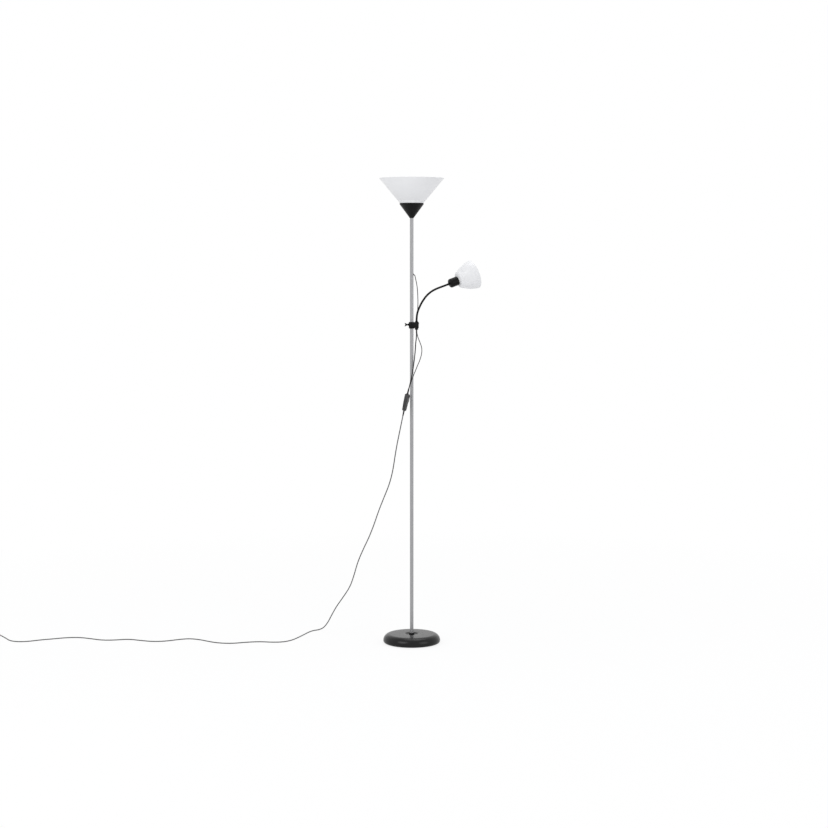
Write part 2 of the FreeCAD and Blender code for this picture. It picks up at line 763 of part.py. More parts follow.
cut(clamp_block, "YZ_Plane", "grub_bore", lambda s: draw_circle(s, 0, d.grub_rise, grub_bore),
    backwards=True, offset=d.arm_offset)

screw_frame = arm_frame * at(z=d.screw_rise, turn=Rotation(ABOUT_Y, -90))
shoe_face = liner_radius + 2 * d.slide_fit
shoe_back = shoe_face + d.shoe_thickness
dog = d.dog_diameter / 2
turned("screw_shoe", [
    (0, shoe_face),
    (d.screw_diameter / 2, shoe_face),
    (d.screw_diameter / 2, shoe_back),
    (dog + d.slide_fit, shoe_back),
    (dog + d.slide_fit, shoe_back - 1.1),
    (0, shoe_back - 1.1),
], screw_frame)

wing_screw = turned("wing_screw", [
    (0, shoe_back - 0.9),
    (dog, shoe_back - 0.9),
    (dog, shoe_back + 0.1),
    (d.screw_diameter / 2, shoe_back + 0.1),
    (d.screw_diameter / 2, d.wing_start + 4),
    (0, d.wing_start + 6),
], screw_frame)
wing = d.wing_span / 2
pad(wing_screw, "XZ_Plane", "wings", d.wing_thickness, lambda s: draw_outline(s, [
    (-2, d.wing_start),
    (2, d.wing_start),
    (3.2, d.wing_start + 3),
    (wing, d.wing_reach - 2.2, 14),
    (wing - 0.6, d.wing_reach, 2),
    (0, d.wing_reach - 4, -9),
    (0.6 - wing, d.wing_reach, -9),
    (-wing, d.wing_reach - 2.2, 2),
    (-3.2, d.wing_start + 3, 14),
]), midplane=True)

# ---------------------------------------------------------------------------------------------------------
# Gooseneck: a ball on each link sits in the socket of the next one
# ---------------------------------------------------------------------------------------------------------

BENDS = [8, 16, 6, 8, 12, 13, 8, 0.5, -1.1]
LINK_COUNT = len(BENDS) - 1

neck = d.neck_diameter / 2
ball = d.ball_diameter / 2
socket = ball + d.ball_gap
throat = d.link_neck / 2
wire = d.neck_bore / 2
lip_inside = root(socket * socket - d.lip_depth * d.lip_depth)
lip_corner = root(neck * neck + d.lip_depth * d.lip_depth)
hollow = lip_corner + d.ball_gap
hollow_edge = root(hollow * hollow - neck * neck)
hollow_foot = root(hollow * hollow - throat * throat)


def ball_end(height):
    """From the barrel's upper edge over the ball to the wire channel, about a ball at this height."""
    return [
        (neck, height - hollow_edge),
        (throat, height - hollow_foot, -hollow),
        (throat, height - root(ball * ball - throat * throat)),
        (ball, height, ball),
        (wire, height + root(ball * ball - wire * wire), ball),
    ]


def socket_end():
    """From the wire channel round the socket to the barrel's lower edge."""
    return [
        (wire, root(socket * socket - wire * wire)),
        (socket, 0, -socket),
        (lip_inside, -d.lip_depth, -socket),
        (neck, -d.lip_depth),
    ]


def neck_joints():
    """The frame of each ball, its Z axis along the link that starts there."""
    frames = []
    where = arm_frame * at(d.arm_offset, 0, d.neck_rise)
    for bend in BENDS:
        where = where * at(turn=Rotation(ABOUT_Y, bend))
        frames.append(where)
        where = where * at(z=d.neck_pitch)
    return frames


joints = neck_joints()
stem_end = d.neck_rise + half_block + d.neck_nut_height
collar_foot = d.neck_rise - half_block
sleeve_bore = d.sleeve_diameter / 2 + d.press_gap
turned("neck_ferrule_lower", [
    (sleeve_bore, -stem_end),
    (d.stem_diameter / 2, -stem_end),
    (d.stem_diameter / 2, -collar_foot),
    (d.ferrule_diameter / 2, -collar_foot),
    (d.ferrule_diameter / 2, 3 - collar_foot),
    (neck, 4.5 - collar_foot),
    *ball_end(0),
    (wire, 2 - collar_foot),
    (sleeve_bore, 2 - collar_foot),
], arm_frame * at(d.arm_offset, 0, d.neck_rise))

for i in range(LINK_COUNT):
    turned(f"neck_link_{i + 1}", [*socket_end(), *ball_end(d.neck_pitch)], joints[i])

neck_nut = new_body("neck_nut")
neck_nut.Placement = arm_frame * at(d.arm_offset, 0, -half_block - d.neck_nut_height)
pad(neck_nut, "XY_Plane", "neck_nut_hexagon", d.neck_nut_height,
    lambda s: draw_outline(s, hexagon(d.neck_nut_flats)))
cut(neck_nut, "XY_Plane", "neck_nut_bore", lambda s: draw_circle(s, 0, 0, stem_bore), backwards=True)

flex_bore = (d.reading_flex_diameter + d.flex_fit) / 2
turned("flex_sleeve", [
    (flex_bore, -d.sleeve_drop),
    (d.sleeve_diameter / 2 - 0.3, -d.sleeve_drop),
    (d.sleeve_diameter / 2, 1 - d.sleeve_drop),
    (d.sleeve_diameter / 2, -half_block),
    (flex_bore, -half_block),
], arm_frame * at(d.arm_offset))

turned("neck_grub_screw", [
    (0, d.stem_diameter / 2 + 2 * d.press_gap),
    (d.grub_diameter / 2, d.stem_diameter / 2 + 2 * d.press_gap),
    (d.grub_diameter / 2, nose + d.grub_proud),
    (1, nose + d.grub_proud),
    (1, nose + d.grub_proud - 1.5),
    (0, nose + d.grub_proud - 1.5),
], arm_frame * at(d.arm_offset, 0, d.grub_rise, Rotation(ABOUT_Y, 90)))

# ---------------------------------------------------------------------------------------------------------
# Reading light, along the last link's axis
# ---------------------------------------------------------------------------------------------------------

head_frame = joints[-1]
can = d.can_diameter / 2
can_front = d.can_start + d.can_length
stem_top = d.can_start + 6
turned("neck_ferrule_upper", [
    *socket_end(),
    (neck, d.head_collar - 1.5),
    (d.ferrule_diameter / 2, d.head_collar),
    (d.ferrule_diameter / 2, d.can_start),
    (d.stem_diameter / 2, d.can_start),
    (d.stem_diameter / 2, stem_top),
    (wire, stem_top),
], head_frame)

turned("reading_can", [
    (stem_bore, d.can_start),
    (can - d.can_round, d.can_start),
    (can, d.can_start + d.can_round, d.can_round),
    (can, can_front),
    (can - d.can_wall, can_front),
    (can - d.can_wall, d.can_start + d.can_round),
    (can - d.can_round, d.can_start + d.can_wall, d.can_wall - d.can_round),
    (stem_bore, d.can_start + d.can_wall),
], head_frame)

lamp_socket = d.socket_diameter / 2
flange_front = can_front + d.socket_flange
holder_front = flange_front + d.bell_wall + d.bell_ring_height + 1
turned("reading_holder", [
    (stem_bore, d.can_start + d.can_wall + d.fit_gap),
    (9, d.can_start + d.can_wall + d.fit_gap),
    (lamp_socket, stem_top + 4),
    (lamp_socket, can_front),
    (can, can_front),
    (can, flange_front),
    (lamp_socket, flange_front),
    (lamp_socket, holder_front),
    (d.socket_bore / 2, holder_front),
    (d.socket_bore / 2, stem_top + 6),
    (wire, stem_top + 6),
    (wire, stem_top),
    (stem_bore, stem_top),
], head_frame)

thread = lamp_socket + d.press_gap
bell_back = flange_front + d.bell_wall
shoulder_front = flange_front + d.bell_shoulder_length
shoulder_width = d.bell_shoulder - d.bell_neck
shoulder_arc = (shoulder_width * shoulder_width / d.bell_shoulder_length + d.bell_shoulder_length) / 2
bell_front = flange_front + d.bell_length
turned("reading_shade", [
    (thread, flange_front),
    (d.bell_neck, flange_front),
    (d.bell_shoulder, shoulder_front, shoulder_arc),
    (d.bell_mouth / 2, bell_front, d.bell_bulge),
    (d.bell_mouth / 2 - d.bell_wall, bell_front),
    (d.bell_shoulder - d.bell_wall, shoulder_front, d.bell_wall - d.bell_bulge),
    (d.bell_neck, bell_back, d.bell_wall - shoulder_arc),
    (thread, bell_back),
], head_frame)

turned("reading_ring", [
    (thread, bell_back),
    (d.bell_ring_flange / 2, bell_back),
    (d.bell_ring_flange / 2, bell_back + 1.5),
    (lamp_socket + 2, bell_back + 1.5),
    (lamp_socket + 2, bell_back + d.bell_ring_height),
    (thread, bell_back + d.bell_ring_height),
], head_frame)

globe = d.globe_diameter / 2
globe_cap = d.globe_cap_diameter / 2
globe_neck = holder_front - 3
globe_middle = d.globe_reach - globe
turned("reading_bulb_cap", [
    (0, stem_top + 8),
    (2.5, stem_top + 8),
    (globe_cap, stem_top + 11),
    (globe_cap, globe_neck),
    (0, globe_neck),
], head_frame)

turned("reading_bulb", [
    (globe_cap - 0.4, globe_neck),
    (globe_cap + 0.1, globe_neck + 4),
    (globe_cap + 2, globe_neck + 8),
    (globe * 0.6, globe_middle - globe * 0.8),
    (globe, globe_middle, globe),
    (0, d.globe_reach, globe),
    (0, d.globe_reach - glass_wall),
    (globe - glass_wall, globe_middle, glass_wall - globe),
    (globe * 0.6 - glass_wall * 0.6, globe_middle - globe * 0.8 + glass_wall * 0.8, glass_wall - globe),
    (globe_cap + 2 - glass_wall, globe_neck + 8),
    (globe_cap + 0.1 - glass_wall, globe_neck + 4),
    (globe_cap - 0.4 - glass_wall, globe_neck),
], head_frame)

# ---------------------------------------------------------------------------------------------------------
# Inline switch. In its own frame Z runs up the switch and X points out of the rocker side.
# ---------------------------------------------------------------------------------------------------------

switch_turn = Rotation(ABOUT_Y, 11.75) * Rotation(ABOUT_Z, -25)
switch_frame = at(-d.switch_left, -d.switch_front, d.switch_height, switch_turn)
half_switch = d.switch_length / 2
spread = d.flex_spread / 2
flex_hole = (d.flex_diameter + d.flex_fit) / 2
reading_hole = (d.reading_flex_diameter + d.flex_fit) / 2
lead_hole = (d.lead_diameter + d.flex_fit) / 2
relief_neck = d.relief_root / 2 - 0.8
entry_depth = 5
SCREW_SPOTS = [-3, -24]


def switch_outline(inset=0):
    """Corners of the switch's long outline, moved in by an inset."""
    top = d.switch_top_width / 2 - inset
    middle = d.switch_width / 2 - inset
    tail = d.switch_tail_width / 2 - inset
    end = half_switch - inset
    corner = 3
    return [
        (middle, 0),
        (top, end - corner),
        (top - corner, end, corner),
        (corner - top, end),
        (-top, end - corner, corner),
        (-middle, 0),
        (-tail, corner - end),
        (corner - tail, -end, corner),
        (tail - corner, -end),
        (tail, corner - end, corner),
    ]


def box_outline(left, right, low, high):
    return [(right, low), (right, high), (left, high), (left, low)]


def switch_entries(body, label):
    cut(body, "XY_Plane", label + "_uplight_entry", lambda s: draw_circle(s, 0, -spread, flex_hole),
        length=entry_depth, offset=half_switch)
    cut(body, "XY_Plane", label + "_reading_entry", lambda s: draw_circle(s, 0, spread, reading_hole),
        length=entry_depth, offset=half_switch)
    cut(body, "XY_Plane", label + "_lead_entry", lambda s: draw_circle(s, 0, 0, relief_neck + d.press_gap),
        length=entry_depth, backwards=True, offset=-half_switch)


def draw_screw_holes(sketch, radius):
    for spot in SCREW_SPOTS:
        draw_circle(sketch, 0, spot, radius)


def draw_wiring_space(sketch):
    draw_outline(sketch, switch_outline(d.shell_wall))
    draw_screw_holes(sketch, d.screw_head / 2 + 0.8)


back = new_body("switch_base")
back.Placement = switch_frame
pad(back, "YZ_Plane", "rear_blank", d.shell_depth, lambda s: draw_outline(s, switch_outline()), backwards=True)
rounded(back, "rear_rounding", 2, lambda e: e.BoundBox.XMax < 0.01 - number(d.shell_depth))
cut(back, "YZ_Plane", "wiring_space", draw_wiring_space, length=d.shell_depth - d.shell_wall)
cut(back, "YZ_Plane", "rear_screw_holes", lambda s: draw_screw_holes(s, d.screw_shank / 2 + d.press_gap))
cut(back, "YZ_Plane", "rear_screw_heads", lambda s: draw_screw_holes(s, d.screw_head / 2 + d.press_gap),
    length=2, backwards=True, offset=-d.shell_depth)
switch_entries(back, "rear")

rib = d.rib_width / 2
well_outside = rib + d.rocker_width + 2 * d.rocker_gap
bezel_side = d.switch_width / 2 - 0.6
bezel_face = d.shell_depth + d.bezel_depth
half_well = d.rocker_length / 2 + d.rocker_gap
cover = new_body("switch_cover")
cover.Placement = switch_frame
pad(cover, "YZ_Plane", "front_blank", d.shell_depth, lambda s: draw_outline(s, switch_outline()))
rounded(cover, "front_rounding", 2, lambda e: e.BoundBox.XMin > number(d.shell_depth) - 0.01)
pad(cover, "YZ_Plane", "bezel", bezel_face, lambda s: draw_outline(s, box_outline(
    -bezel_side, bezel_side, d.rocker_middle - half_well - 2.2, d.rocker_middle + half_well + 2.2)))
rounded(cover, "bezel_rounding", 1, lambda e: e.BoundBox.XMin > number(bezel_face) - 0.01)
for side, left, right in (("reading", rib, well_outside), ("uplight", -well_outside, -rib)):
    cut(cover, "YZ_Plane", side + "_well", lambda s: draw_outline(s, box_outline(
        left, right, d.rocker_middle - half_well, d.rocker_middle + half_well)),
        length=bezel_face - d.well_floor, offset=bezel_face)
pin_axis = d.shell_depth
pin_reach = well_outside + 0.9
cut(cover, "XZ_Plane", "pin_holes", lambda s: draw_circle(
    s, pin_axis, d.rocker_middle, d.pin_diameter / 2 + d.slide_fit), length=2 * pin_reach, midplane=True)
cut(cover, "YZ_Plane", "front_screw_holes", lambda s: draw_screw_holes(s, d.screw_shank / 2 + d.press_gap),
    length=4, backwards=True)
switch_entries(cover, "front")

rocker_reach = d.rocker_length / 2
horn = root(rocker_reach * rocker_reach - d.rocker_horn * d.rocker_horn)
for label, side, tilt in (("rocker_uplight", -1, -0.5), ("rocker_reading", 1, 0.5)):
    middle = (rib + d.rocker_gap + d.rocker_width / 2) * side
    rocker = new_body(label)
    rocker.Placement = switch_frame * at(
        pin_axis, middle, d.rocker_middle, Rotation(ABOUT_Y, number(d.rocker_travel) * tilt))
    pad(rocker, "XZ_Plane", label + "_paddle", d.rocker_width, lambda s: draw_outline(s, [
        (d.rocker_crest, 0),
        (d.rocker_horn, horn),
        (0, rocker_reach, rocker_reach),
        (-1.5, rocker_reach - 3),
        (-3.2, 0),
        (-1.5, 3 - rocker_reach),
        (0, -rocker_reach),
        (d.rocker_horn, -horn, rocker_reach),
    ]), midplane=True)
    pad(rocker, "XZ_Plane", label + "_pins", d.rocker_width + 2 * d.rocker_gap + 1,
        lambda s: draw_circle(s, 0, 0, d.pin_diameter / 2), midplane=True)

screws = []
for i, spot in enumerate(SCREW_SPOTS, 1):
    lying = switch_frame * at(d.fit_gap - d.shell_depth, 0, spot, Rotation(ABOUT_Y, 90))
    head = cylinder(f"screw_{i}_head", d.screw_head / 2, 1.6, lying)
    shank = cylinder(f"screw_{i}_shank", d.screw_shank / 2, d.shell_depth + 3, lying)
    screws.append(joined("Part::Fuse", f"screw_{i}", head, shank))
group("switch_screws", screws)

turned("lead_relief", [
    (lead_hole, entry_depth - half_switch),
    (relief_neck, entry_depth - half_switch),
    (relief_neck, -half_switch),
    (d.relief_root / 2, -half_switch),
    (lead_hole + d.relief_wall, -half_switch - d.relief_length),
    (lead_hole, -half_switch - d.relief_length),
], switch_frame)

grommet = new_body("flex_relief")
grommet.Placement = switch_frame * at(z=half_switch)
pad(grommet, "XY_Plane", "relief_block", 2.4, lambda s: draw_outline(s, [
    (3, -6), (3, 6), (2, 7), (-2, 7), (-3, 6), (-3, -6), (-2, -7), (2, -7)]))
cut(grommet, "XY_Plane", "relief_uplight_bore", lambda s: draw_circle(s, 0, -spread, flex_hole), backwards=True)
cut(grommet, "XY_Plane", "relief_reading_bore", lambda s: draw_circle(s, 0, spread, reading_hole), backwards=True)

# ---------------------------------------------------------------------------------------------------------
# Cords: round tubes along straight runs that are joined by tangent arcs
# ---------------------------------------------------------------------------------------------------------

ROUNDING = 0.45


def tangent_arc(start, corner, end):
    """The arc that touches start-corner at its start and corner-end at its end; both are equally long."""
    middle = (start + end) / 2
    half_chord = (end - start).Length / 2
    turn = 2 * math.atan2((corner - middle).Length, half_chord)
    apex = middle + (corner - middle).normalize() * half_chord * math.tan(turn / 4)
    return Part.Arc(start, apex, end).toShape()


def route_edges(points, radii):
    """Runs and arcs through the corner points; the arc radii are added to the list."""
    edges = []
    start = points[0]
    for before, corner, after in zip(points, points[1:], points[2:]):
        come = corner - before
        leave = after - corner
        reach = ROUNDING * min(come.Length, leave.Length)
        radii.append(reach / math.tan(come.getAngle(leave) / 2))
        arc_start = corner - come.normalize() * reach
        arc_end = corner + leave.normalize() * reach
        edges.append(Part.LineSegment(start, arc_start).toShape())
        edges.append(tangent_arc(arc_start, corner, arc_end))
        start = arc_end
    edges.append(Part.LineSegment(start, points[-1]).toShape())
    return edges


def cord(label, edges, diameter, radii):
    """Sweep a circle along the edges, and print how well the solid agrees with section times length."""
    wire = Part.Wire(edges)
    tip, after = edges[0].Vertexes
    section = Part.Wire(Part.Circle(tip.Point, after.Point - tip.Point, number(diameter / 2)).toShape())
    tube = wire.makePipeShell([section], True, False)
    made_in_code(label, tube)
    expected = math.pi * number(diameter) ** 2 / 4 * wire.Length
    print(f"{label}: length {wire.Length:.0f} mm, volume {tube.Volume / expected:.4f} of section times length, "
          f"smallest radius {min(radii):.1f} mm, {len(tube.Solids)} solid")


def points_of(*groups):
    return [Vector(*spot) for spots in groups for spot in spots]


def on_switch(y, z):
    return tuple(switch_frame.multVec(Vector(0, number(y), number(z))))


UPLIGHT_FLEX = [
    (11.32, 9.84, 1417), (14.5, 12.6, 1402.5), (17.7, 15.7, 1388), (20.9, 19.5, 1370), (23.1, 24, 1342),
    (24.2, 29, 1303), (21.2, 32.5, 1264), (18.5, 33, 1219), (20.5, 32, 1185), (30.5, 27.5, 1161),
    (38.5, 17.5, 1140), (39, 4, 1119), (32.5, -10, 1096), (22.5, -21.5, 1073), (12.5, -28.7, 1049),
    (2.8, -32.4, 1025), (-5.6, -32.4, 1001),
]
READING_FLEX_UPPER = [(15, 3.9, 1156), (14.1, -0.5, 1132.5), (12, -4.5, 1113.1)]
READING_FLEX_LOWER = [
    (12, -4.5, 1112.9), (9.6, -9, 1091), (6, -13.5, 1064), (1.8, -16.7, 1039), (-3.2, -20, 1016), (-8, -23, 996),
]
MAINS_LEAD = [
    (-45, -20, 824), (-55, -9, 776), (-64, 7, 723), (-72, 25, 667), (-86, 41, 611), (-107, 55, 558),
    (-128, 71, 504), (-146, 87, 449), (-166, 104, 396), (-190, 120, 345), (-212, 135, 292), (-226, 150, 240),
    (-243, 166, 189), (-271, 180, 145), (-299, 194, 104), (-319, 208, 66), (-334, 221, 35), (-351, 232, 12),
    (-370, 235, 3), (-387, 229, 2), (-401, 211, 2), (-414, 178, 2), (-430, 130, 2), (-447, 82, 2),
    (-466, 38, 2), (-497, 6, 2), (-541, 2, 2), (-585, 14, 2), (-638, 3, 2), (-692, -21, 2), (-744, -12, 2),
    (-783, 14, 2), (-822, 50, 2), (-866, 70, 2), (-907, 53, 2), (-948, 24, 2), (-998, 13, 2), (-1048, 33, 2),
    (-1102, 60, 2), (-1152, 42, 2), (-1202, 40, 2), (-1247, 66, 2), (-1296, 92, 2), (-1349, 88, 2),
    (-1397, 64, 2), (-1440, 46, 2), (-1488, 14, 2), (-1530, 12, 2), (-1560, 34, 2), (-1579, 70, 2),
    (-1604, 112, 2), (-1631, 154, 2.3), (-1650.8, 188, 3.3),
]


def coil_height(turns):
    """Floor to the middle of the cord: level, then up beside the first layer, then level on top of it."""
    ramp = (turns - number(d.coil_rise_start)) / number(d.coil_rise)
    ramp = max(0, min(1, ramp))
    return number(d.lead_diameter / 2 + d.coil_lift + d.coil_layer * ramp * ramp * (3 - 2 * ramp))


def coil_point(turns):
    angle = math.radians(COIL_ENTRY) + 2 * math.pi * turns
    radius = number(d.coil_radius)
    return Vector(COIL_X + radius * math.cos(angle), COIL_Y + radius * math.sin(angle), coil_height(turns))


def coil_heading(turns):
    return (coil_point(turns + 0.0005) - coil_point(turns - 0.0005)).normalize()


COIL_X = -1682
COIL_Y = 203
COIL_ENTRY = 25
exit_frame = at(z=d.exit_height, turn=exit_turn)
FLEX_IN_POLE = [(0.4, 1), (0, 0.86), (0.8, 0.67), (-0.8, 0.46), (0.8, 0.25), (-2.6, 0.07), (-1.5, 0)]
flex_rise = number(d.pole_top + d.nipple_reach - 4 - d.exit_height)
inside_route = [tuple(exit_frame.multVec(Vector(x, 0, part * flex_rise))) for x, part in FLEX_IN_POLE]
entry_run = [on_switch(-spread, half_switch + 14), on_switch(-spread, half_switch - entry_depth + 1)]
radii = []
cord("uplight_flex", route_edges(points_of(inside_route, UPLIGHT_FLEX, entry_run), radii),
     d.flex_diameter, radii)

radii = []
sleeve_run = [tuple(arm_frame.multVec(Vector(number(d.arm_offset), 0, -number(drop))))
              for drop in (half_block + 9, d.sleeve_drop + 13)]
cord("reading_flex_upper", route_edges(points_of(sleeve_run, READING_FLEX_UPPER), radii),
     d.reading_flex_diameter, radii)

radii = []
entry_run = [on_switch(spread, half_switch + 12), on_switch(spread, half_switch - entry_depth + 1)]
cord("reading_flex_lower", route_edges(points_of(READING_FLEX_LOWER, entry_run), radii),
     d.reading_flex_diameter, radii)

radii = []
relief_run = [on_switch(0, entry_depth - half_switch), on_switch(0, -half_switch - d.relief_length - 17)]
coil_start = coil_point(0) - coil_heading(0) * number(d.lead_diameter)
lead_end = coil_start - coil_heading(0) * 0.1
lead_edges = route_edges(points_of(relief_run, MAINS_LEAD, [tuple(lead_end)]), radii)
cord("mains_lead", lead_edges, d.lead_diameter, radii)

# ---------------------------------------------------------------------------------------------------------
# Put-away end of the lead: a small coil under a tie, and the plug
# ---------------------------------------------------------------------------------------------------------


def biarc(start, heading, end, last_heading):
    """Two tangent arcs between two points with given headings."""
    span = end - start
    both = heading + last_heading
    a = 2 * (heading.dot(last_heading) - 1)
    b = -2 * span.dot(both)
    c = span.dot(span)
    reach = (-b - math.sqrt(b * b - 4 * a * c)) / (2 * a)
    first = start + heading * reach
    last = end - last_heading * reach
    joint = (first + last) / 2
    return [tangent_arc(start, first, joint), tangent_arc(joint, last, end)]


COIL_PIECES = 6
plug_z = number(d.plug_depth / 2) + 0.1
west = COIL_X - number(d.coil_radius)
tail = [Vector(west, COIL_Y - 10, number(coil_height(9))), Vector(west, COIL_Y - 27, plug_z),
        Vector(west, COIL_Y - 58, plug_z)]
plug_tip = COIL_Y - 42
marks = [number(d.coil_turns) * i / COIL_PIECES for i in range(COIL_PIECES + 1)]
coil_edges = [Part.LineSegment(coil_start, coil_point(0)).toShape()]
for low, high in zip(marks, marks[1:]):
    coil_edges += biarc(coil_point(low), coil_heading(low), coil_point(high), coil_heading(high))
loop_end = coil_edges[-1].Vertexes[-1].Point
radii = [number(d.coil_radius)]
coil_edges += route_edges([loop_end, *tail], radii)
cord("lead_coil", coil_edges, d.lead_diameter, radii)

samples = [coil_point(i / 200) for i in range(int(number(d.coil_turns) * 200) + 1)]
apart = min((samples[j] - samples[i]).Length for i in range(len(samples)) for j in range(i + 100, len(samples)))
print(f"lead_coil: least gap between its turns {apart - number(d.lead_diameter):.2f} mm")


def stadium(radius, low, high):
    """An upright slot outline about two circle centres."""
    return [
        (radius, low, radius),
        (radius, high),
        (0, high + radius, radius),
        (-radius, high, radius),
        (-radius, low),
        (0, low - radius, radius),
    ]


TIE_ANGLE = 97
tie = new_body("lead_tie")
tie.Placement = at(COIL_X, COIL_Y, 0, Rotation(ABOUT_Z, TIE_ANGLE)) * at(x=d.coil_radius)
low_cord = d.lead_diameter / 2 + d.coil_lift
high_cord = low_cord + d.coil_layer
tie_inside = d.lead_diameter / 2 + 0.3
pad(tie, "XZ_Plane", "tie_band", d.tie_width,
    lambda s: draw_outline(s, stadium(tie_inside + d.tie_wall, low_cord, high_cord)), midplane=True)
cut(tie, "XZ_Plane", "tie_space", lambda s: draw_outline(s, stadium(tie_inside, low_cord, high_cord)),
    length=2 * d.tie_width, midplane=True)

plug_frame = at(west, plug_tip, plug_z, Rotation(ABOUT_X, 90))
relief = d.relief_length
plug_face = relief + d.plug_body
plug = turned("plug_body", [
    (0, 0),
    (lead_hole + d.relief_wall, 0),
    (4.9, relief),
    (4.9, relief + 6),
    (0, relief + 6),
], plug_frame)
wide = d.plug_width / 2
pad(plug, "XZ_Plane", "plug_hull", d.plug_depth, lambda s: draw_outline(s, [
    (-6, relief),
    (6, relief),
    (9, relief + 5),
    (wide, relief + 18),
    (wide, plug_face),
    (-wide, plug_face),
    (-wide, relief + 18),
    (-9, relief + 5),
]), midplane=True)
half_depth = number(d.plug_depth / 2)
rounded(plug, "plug_rounding", 2.5, lambda e: e.BoundBox.YLength < 0.01 and abs(e.BoundBox.YMax) > half_depth - 0.01)
cut(plug, "XY_Plane", "plug_cord_bore", lambda s: draw_circle(s, 0, 0, lead_hole), length=16.2, backwards=True)
pin_spot = d.plug_pin_pitch / 2
pin_seat = 6
pin_end = d.plug_pin_length + pin_seat
bare_start = pin_end - 1 - d.plug_pin_bare
cut(plug, "XY_Plane", "plug_pin_holes", lambda s: [
    draw_circle(s, side * pin_spot, 0, d.plug_pin_sleeve / 2 + d.press_gap) for side in (-1, 1)],
    length=pin_seat, offset=plug_face)

pins = []
for i, side in enumerate((-1, 1), 1):
    lying = plug_frame * at(x=pin_spot * side, z=plug_face - pin_seat)
    sleeved = cylinder(f"plug_pin_{i}_sleeved", d.plug_pin_sleeve / 2, bare_start, lying)
    bare = cylinder(f"plug_pin_{i}_bare", d.plug_pin_diameter / 2, d.plug_pin_bare, lying * at(z=bare_start))
    tip = cylinder(f"plug_pin_{i}_tip", d.plug_pin_diameter / 2 - 0.6, pin_end, lying)
    shank = joined("Part::Fuse", f"plug_pin_{i}_shank", sleeved, bare)
    pins.append(joined("Part::Fuse", f"plug_pin_{i}", shank, tip))
group("plug_pins", pins)

# ---------------------------------------------------------------------------------------------------------
# Checks and files
# ---------------------------------------------------------------------------------------------------------

doc.recompute()
for thing in doc.Objects:
    if "Invalid" in thing.State or "Error" in thing.State:
        raise ValueError(f"{thing.Label} is {thing.State}")

os.makedirs("parts", exist_ok=True)
for piece in pieces:
    shape = piece.Shape
    if shape.isNull() or not shape.isValid():
        raise ValueError(f"{piece.Label} has no valid shape")
    shape.exportStep(f"parts/{piece.Label}.step")
print(f"{len(pieces)} pieces")
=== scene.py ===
# %% [markdown]
# A floor lamp with a conical uplight and a clamp-on reading light.
# The imported construction model is loaded as a fixed frame. Every piece made below lies where the frame
# says, in metres, with the floor at z = 0 and the pole on the Z axis.

import math

import bmesh
import bpy
from mathutils import Matrix, Vector


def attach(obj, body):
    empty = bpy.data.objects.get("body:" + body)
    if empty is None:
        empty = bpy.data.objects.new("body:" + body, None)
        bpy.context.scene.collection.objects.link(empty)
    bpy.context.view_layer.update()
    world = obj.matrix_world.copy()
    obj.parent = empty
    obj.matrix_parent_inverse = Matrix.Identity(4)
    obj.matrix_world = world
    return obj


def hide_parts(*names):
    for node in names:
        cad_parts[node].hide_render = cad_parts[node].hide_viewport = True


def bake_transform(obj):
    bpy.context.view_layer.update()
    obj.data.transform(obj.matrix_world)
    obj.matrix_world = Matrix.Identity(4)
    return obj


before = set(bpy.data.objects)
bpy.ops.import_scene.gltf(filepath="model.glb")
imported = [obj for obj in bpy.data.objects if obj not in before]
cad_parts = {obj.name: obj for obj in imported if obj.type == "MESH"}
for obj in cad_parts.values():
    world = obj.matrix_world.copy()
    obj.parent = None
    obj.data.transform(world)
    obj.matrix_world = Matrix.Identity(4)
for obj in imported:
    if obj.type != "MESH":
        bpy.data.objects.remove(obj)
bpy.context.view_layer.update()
scene = bpy.context.scene
MM = 0.001

# %% [markdown]
# ## Camera
# The picture was taken from nearly seven metres away with a long lens, from a metre and a half up and tilted
# down by less than five degrees. A long lens keeps the pole's edges parallel, so the focal length matters
# more here than any setting of the lights.

# %% Camera
TILT_DOWN = 4.79
lens = bpy.data.cameras.new("camera")
lens.lens = 78.3
lens.sensor_width = 36
lens.clip_end = 100
camera = bpy.data.objects.new("camera", lens)
camera.location = (0.0088, -6.85, 1.46)
camera.rotation_euler = (math.radians(90 - TILT_DOWN), 0, 0)
scene.collection.objects.link(camera)
scene.camera = camera
print("camera distance:", round((camera.location - Vector((0, 0, 1))).length, 2), "m")

# %% [markdown]
# ## Finishes
# A real surface is never one flat colour. Moulded plastic has a fine grain that breaks its reflections, a
# coated tube has the slight waviness of the coat, and dust and handling change the roughness a little from
# place to place. One function builds that from noise on Object coordinates, so a pattern stays at its real
# scale on every piece, and each finish below only states its own numbers.

# %% A helper for finishes
SMEARS_PER_PATCH = 3.7
DARKEST_AT, LIGHTEST_AT = 0.3, 0.7


def add_node(nodes, kind, **values):
    node = nodes.new(kind)
    for name, value in values.items():
        node.inputs[name].default_value = value
    return node


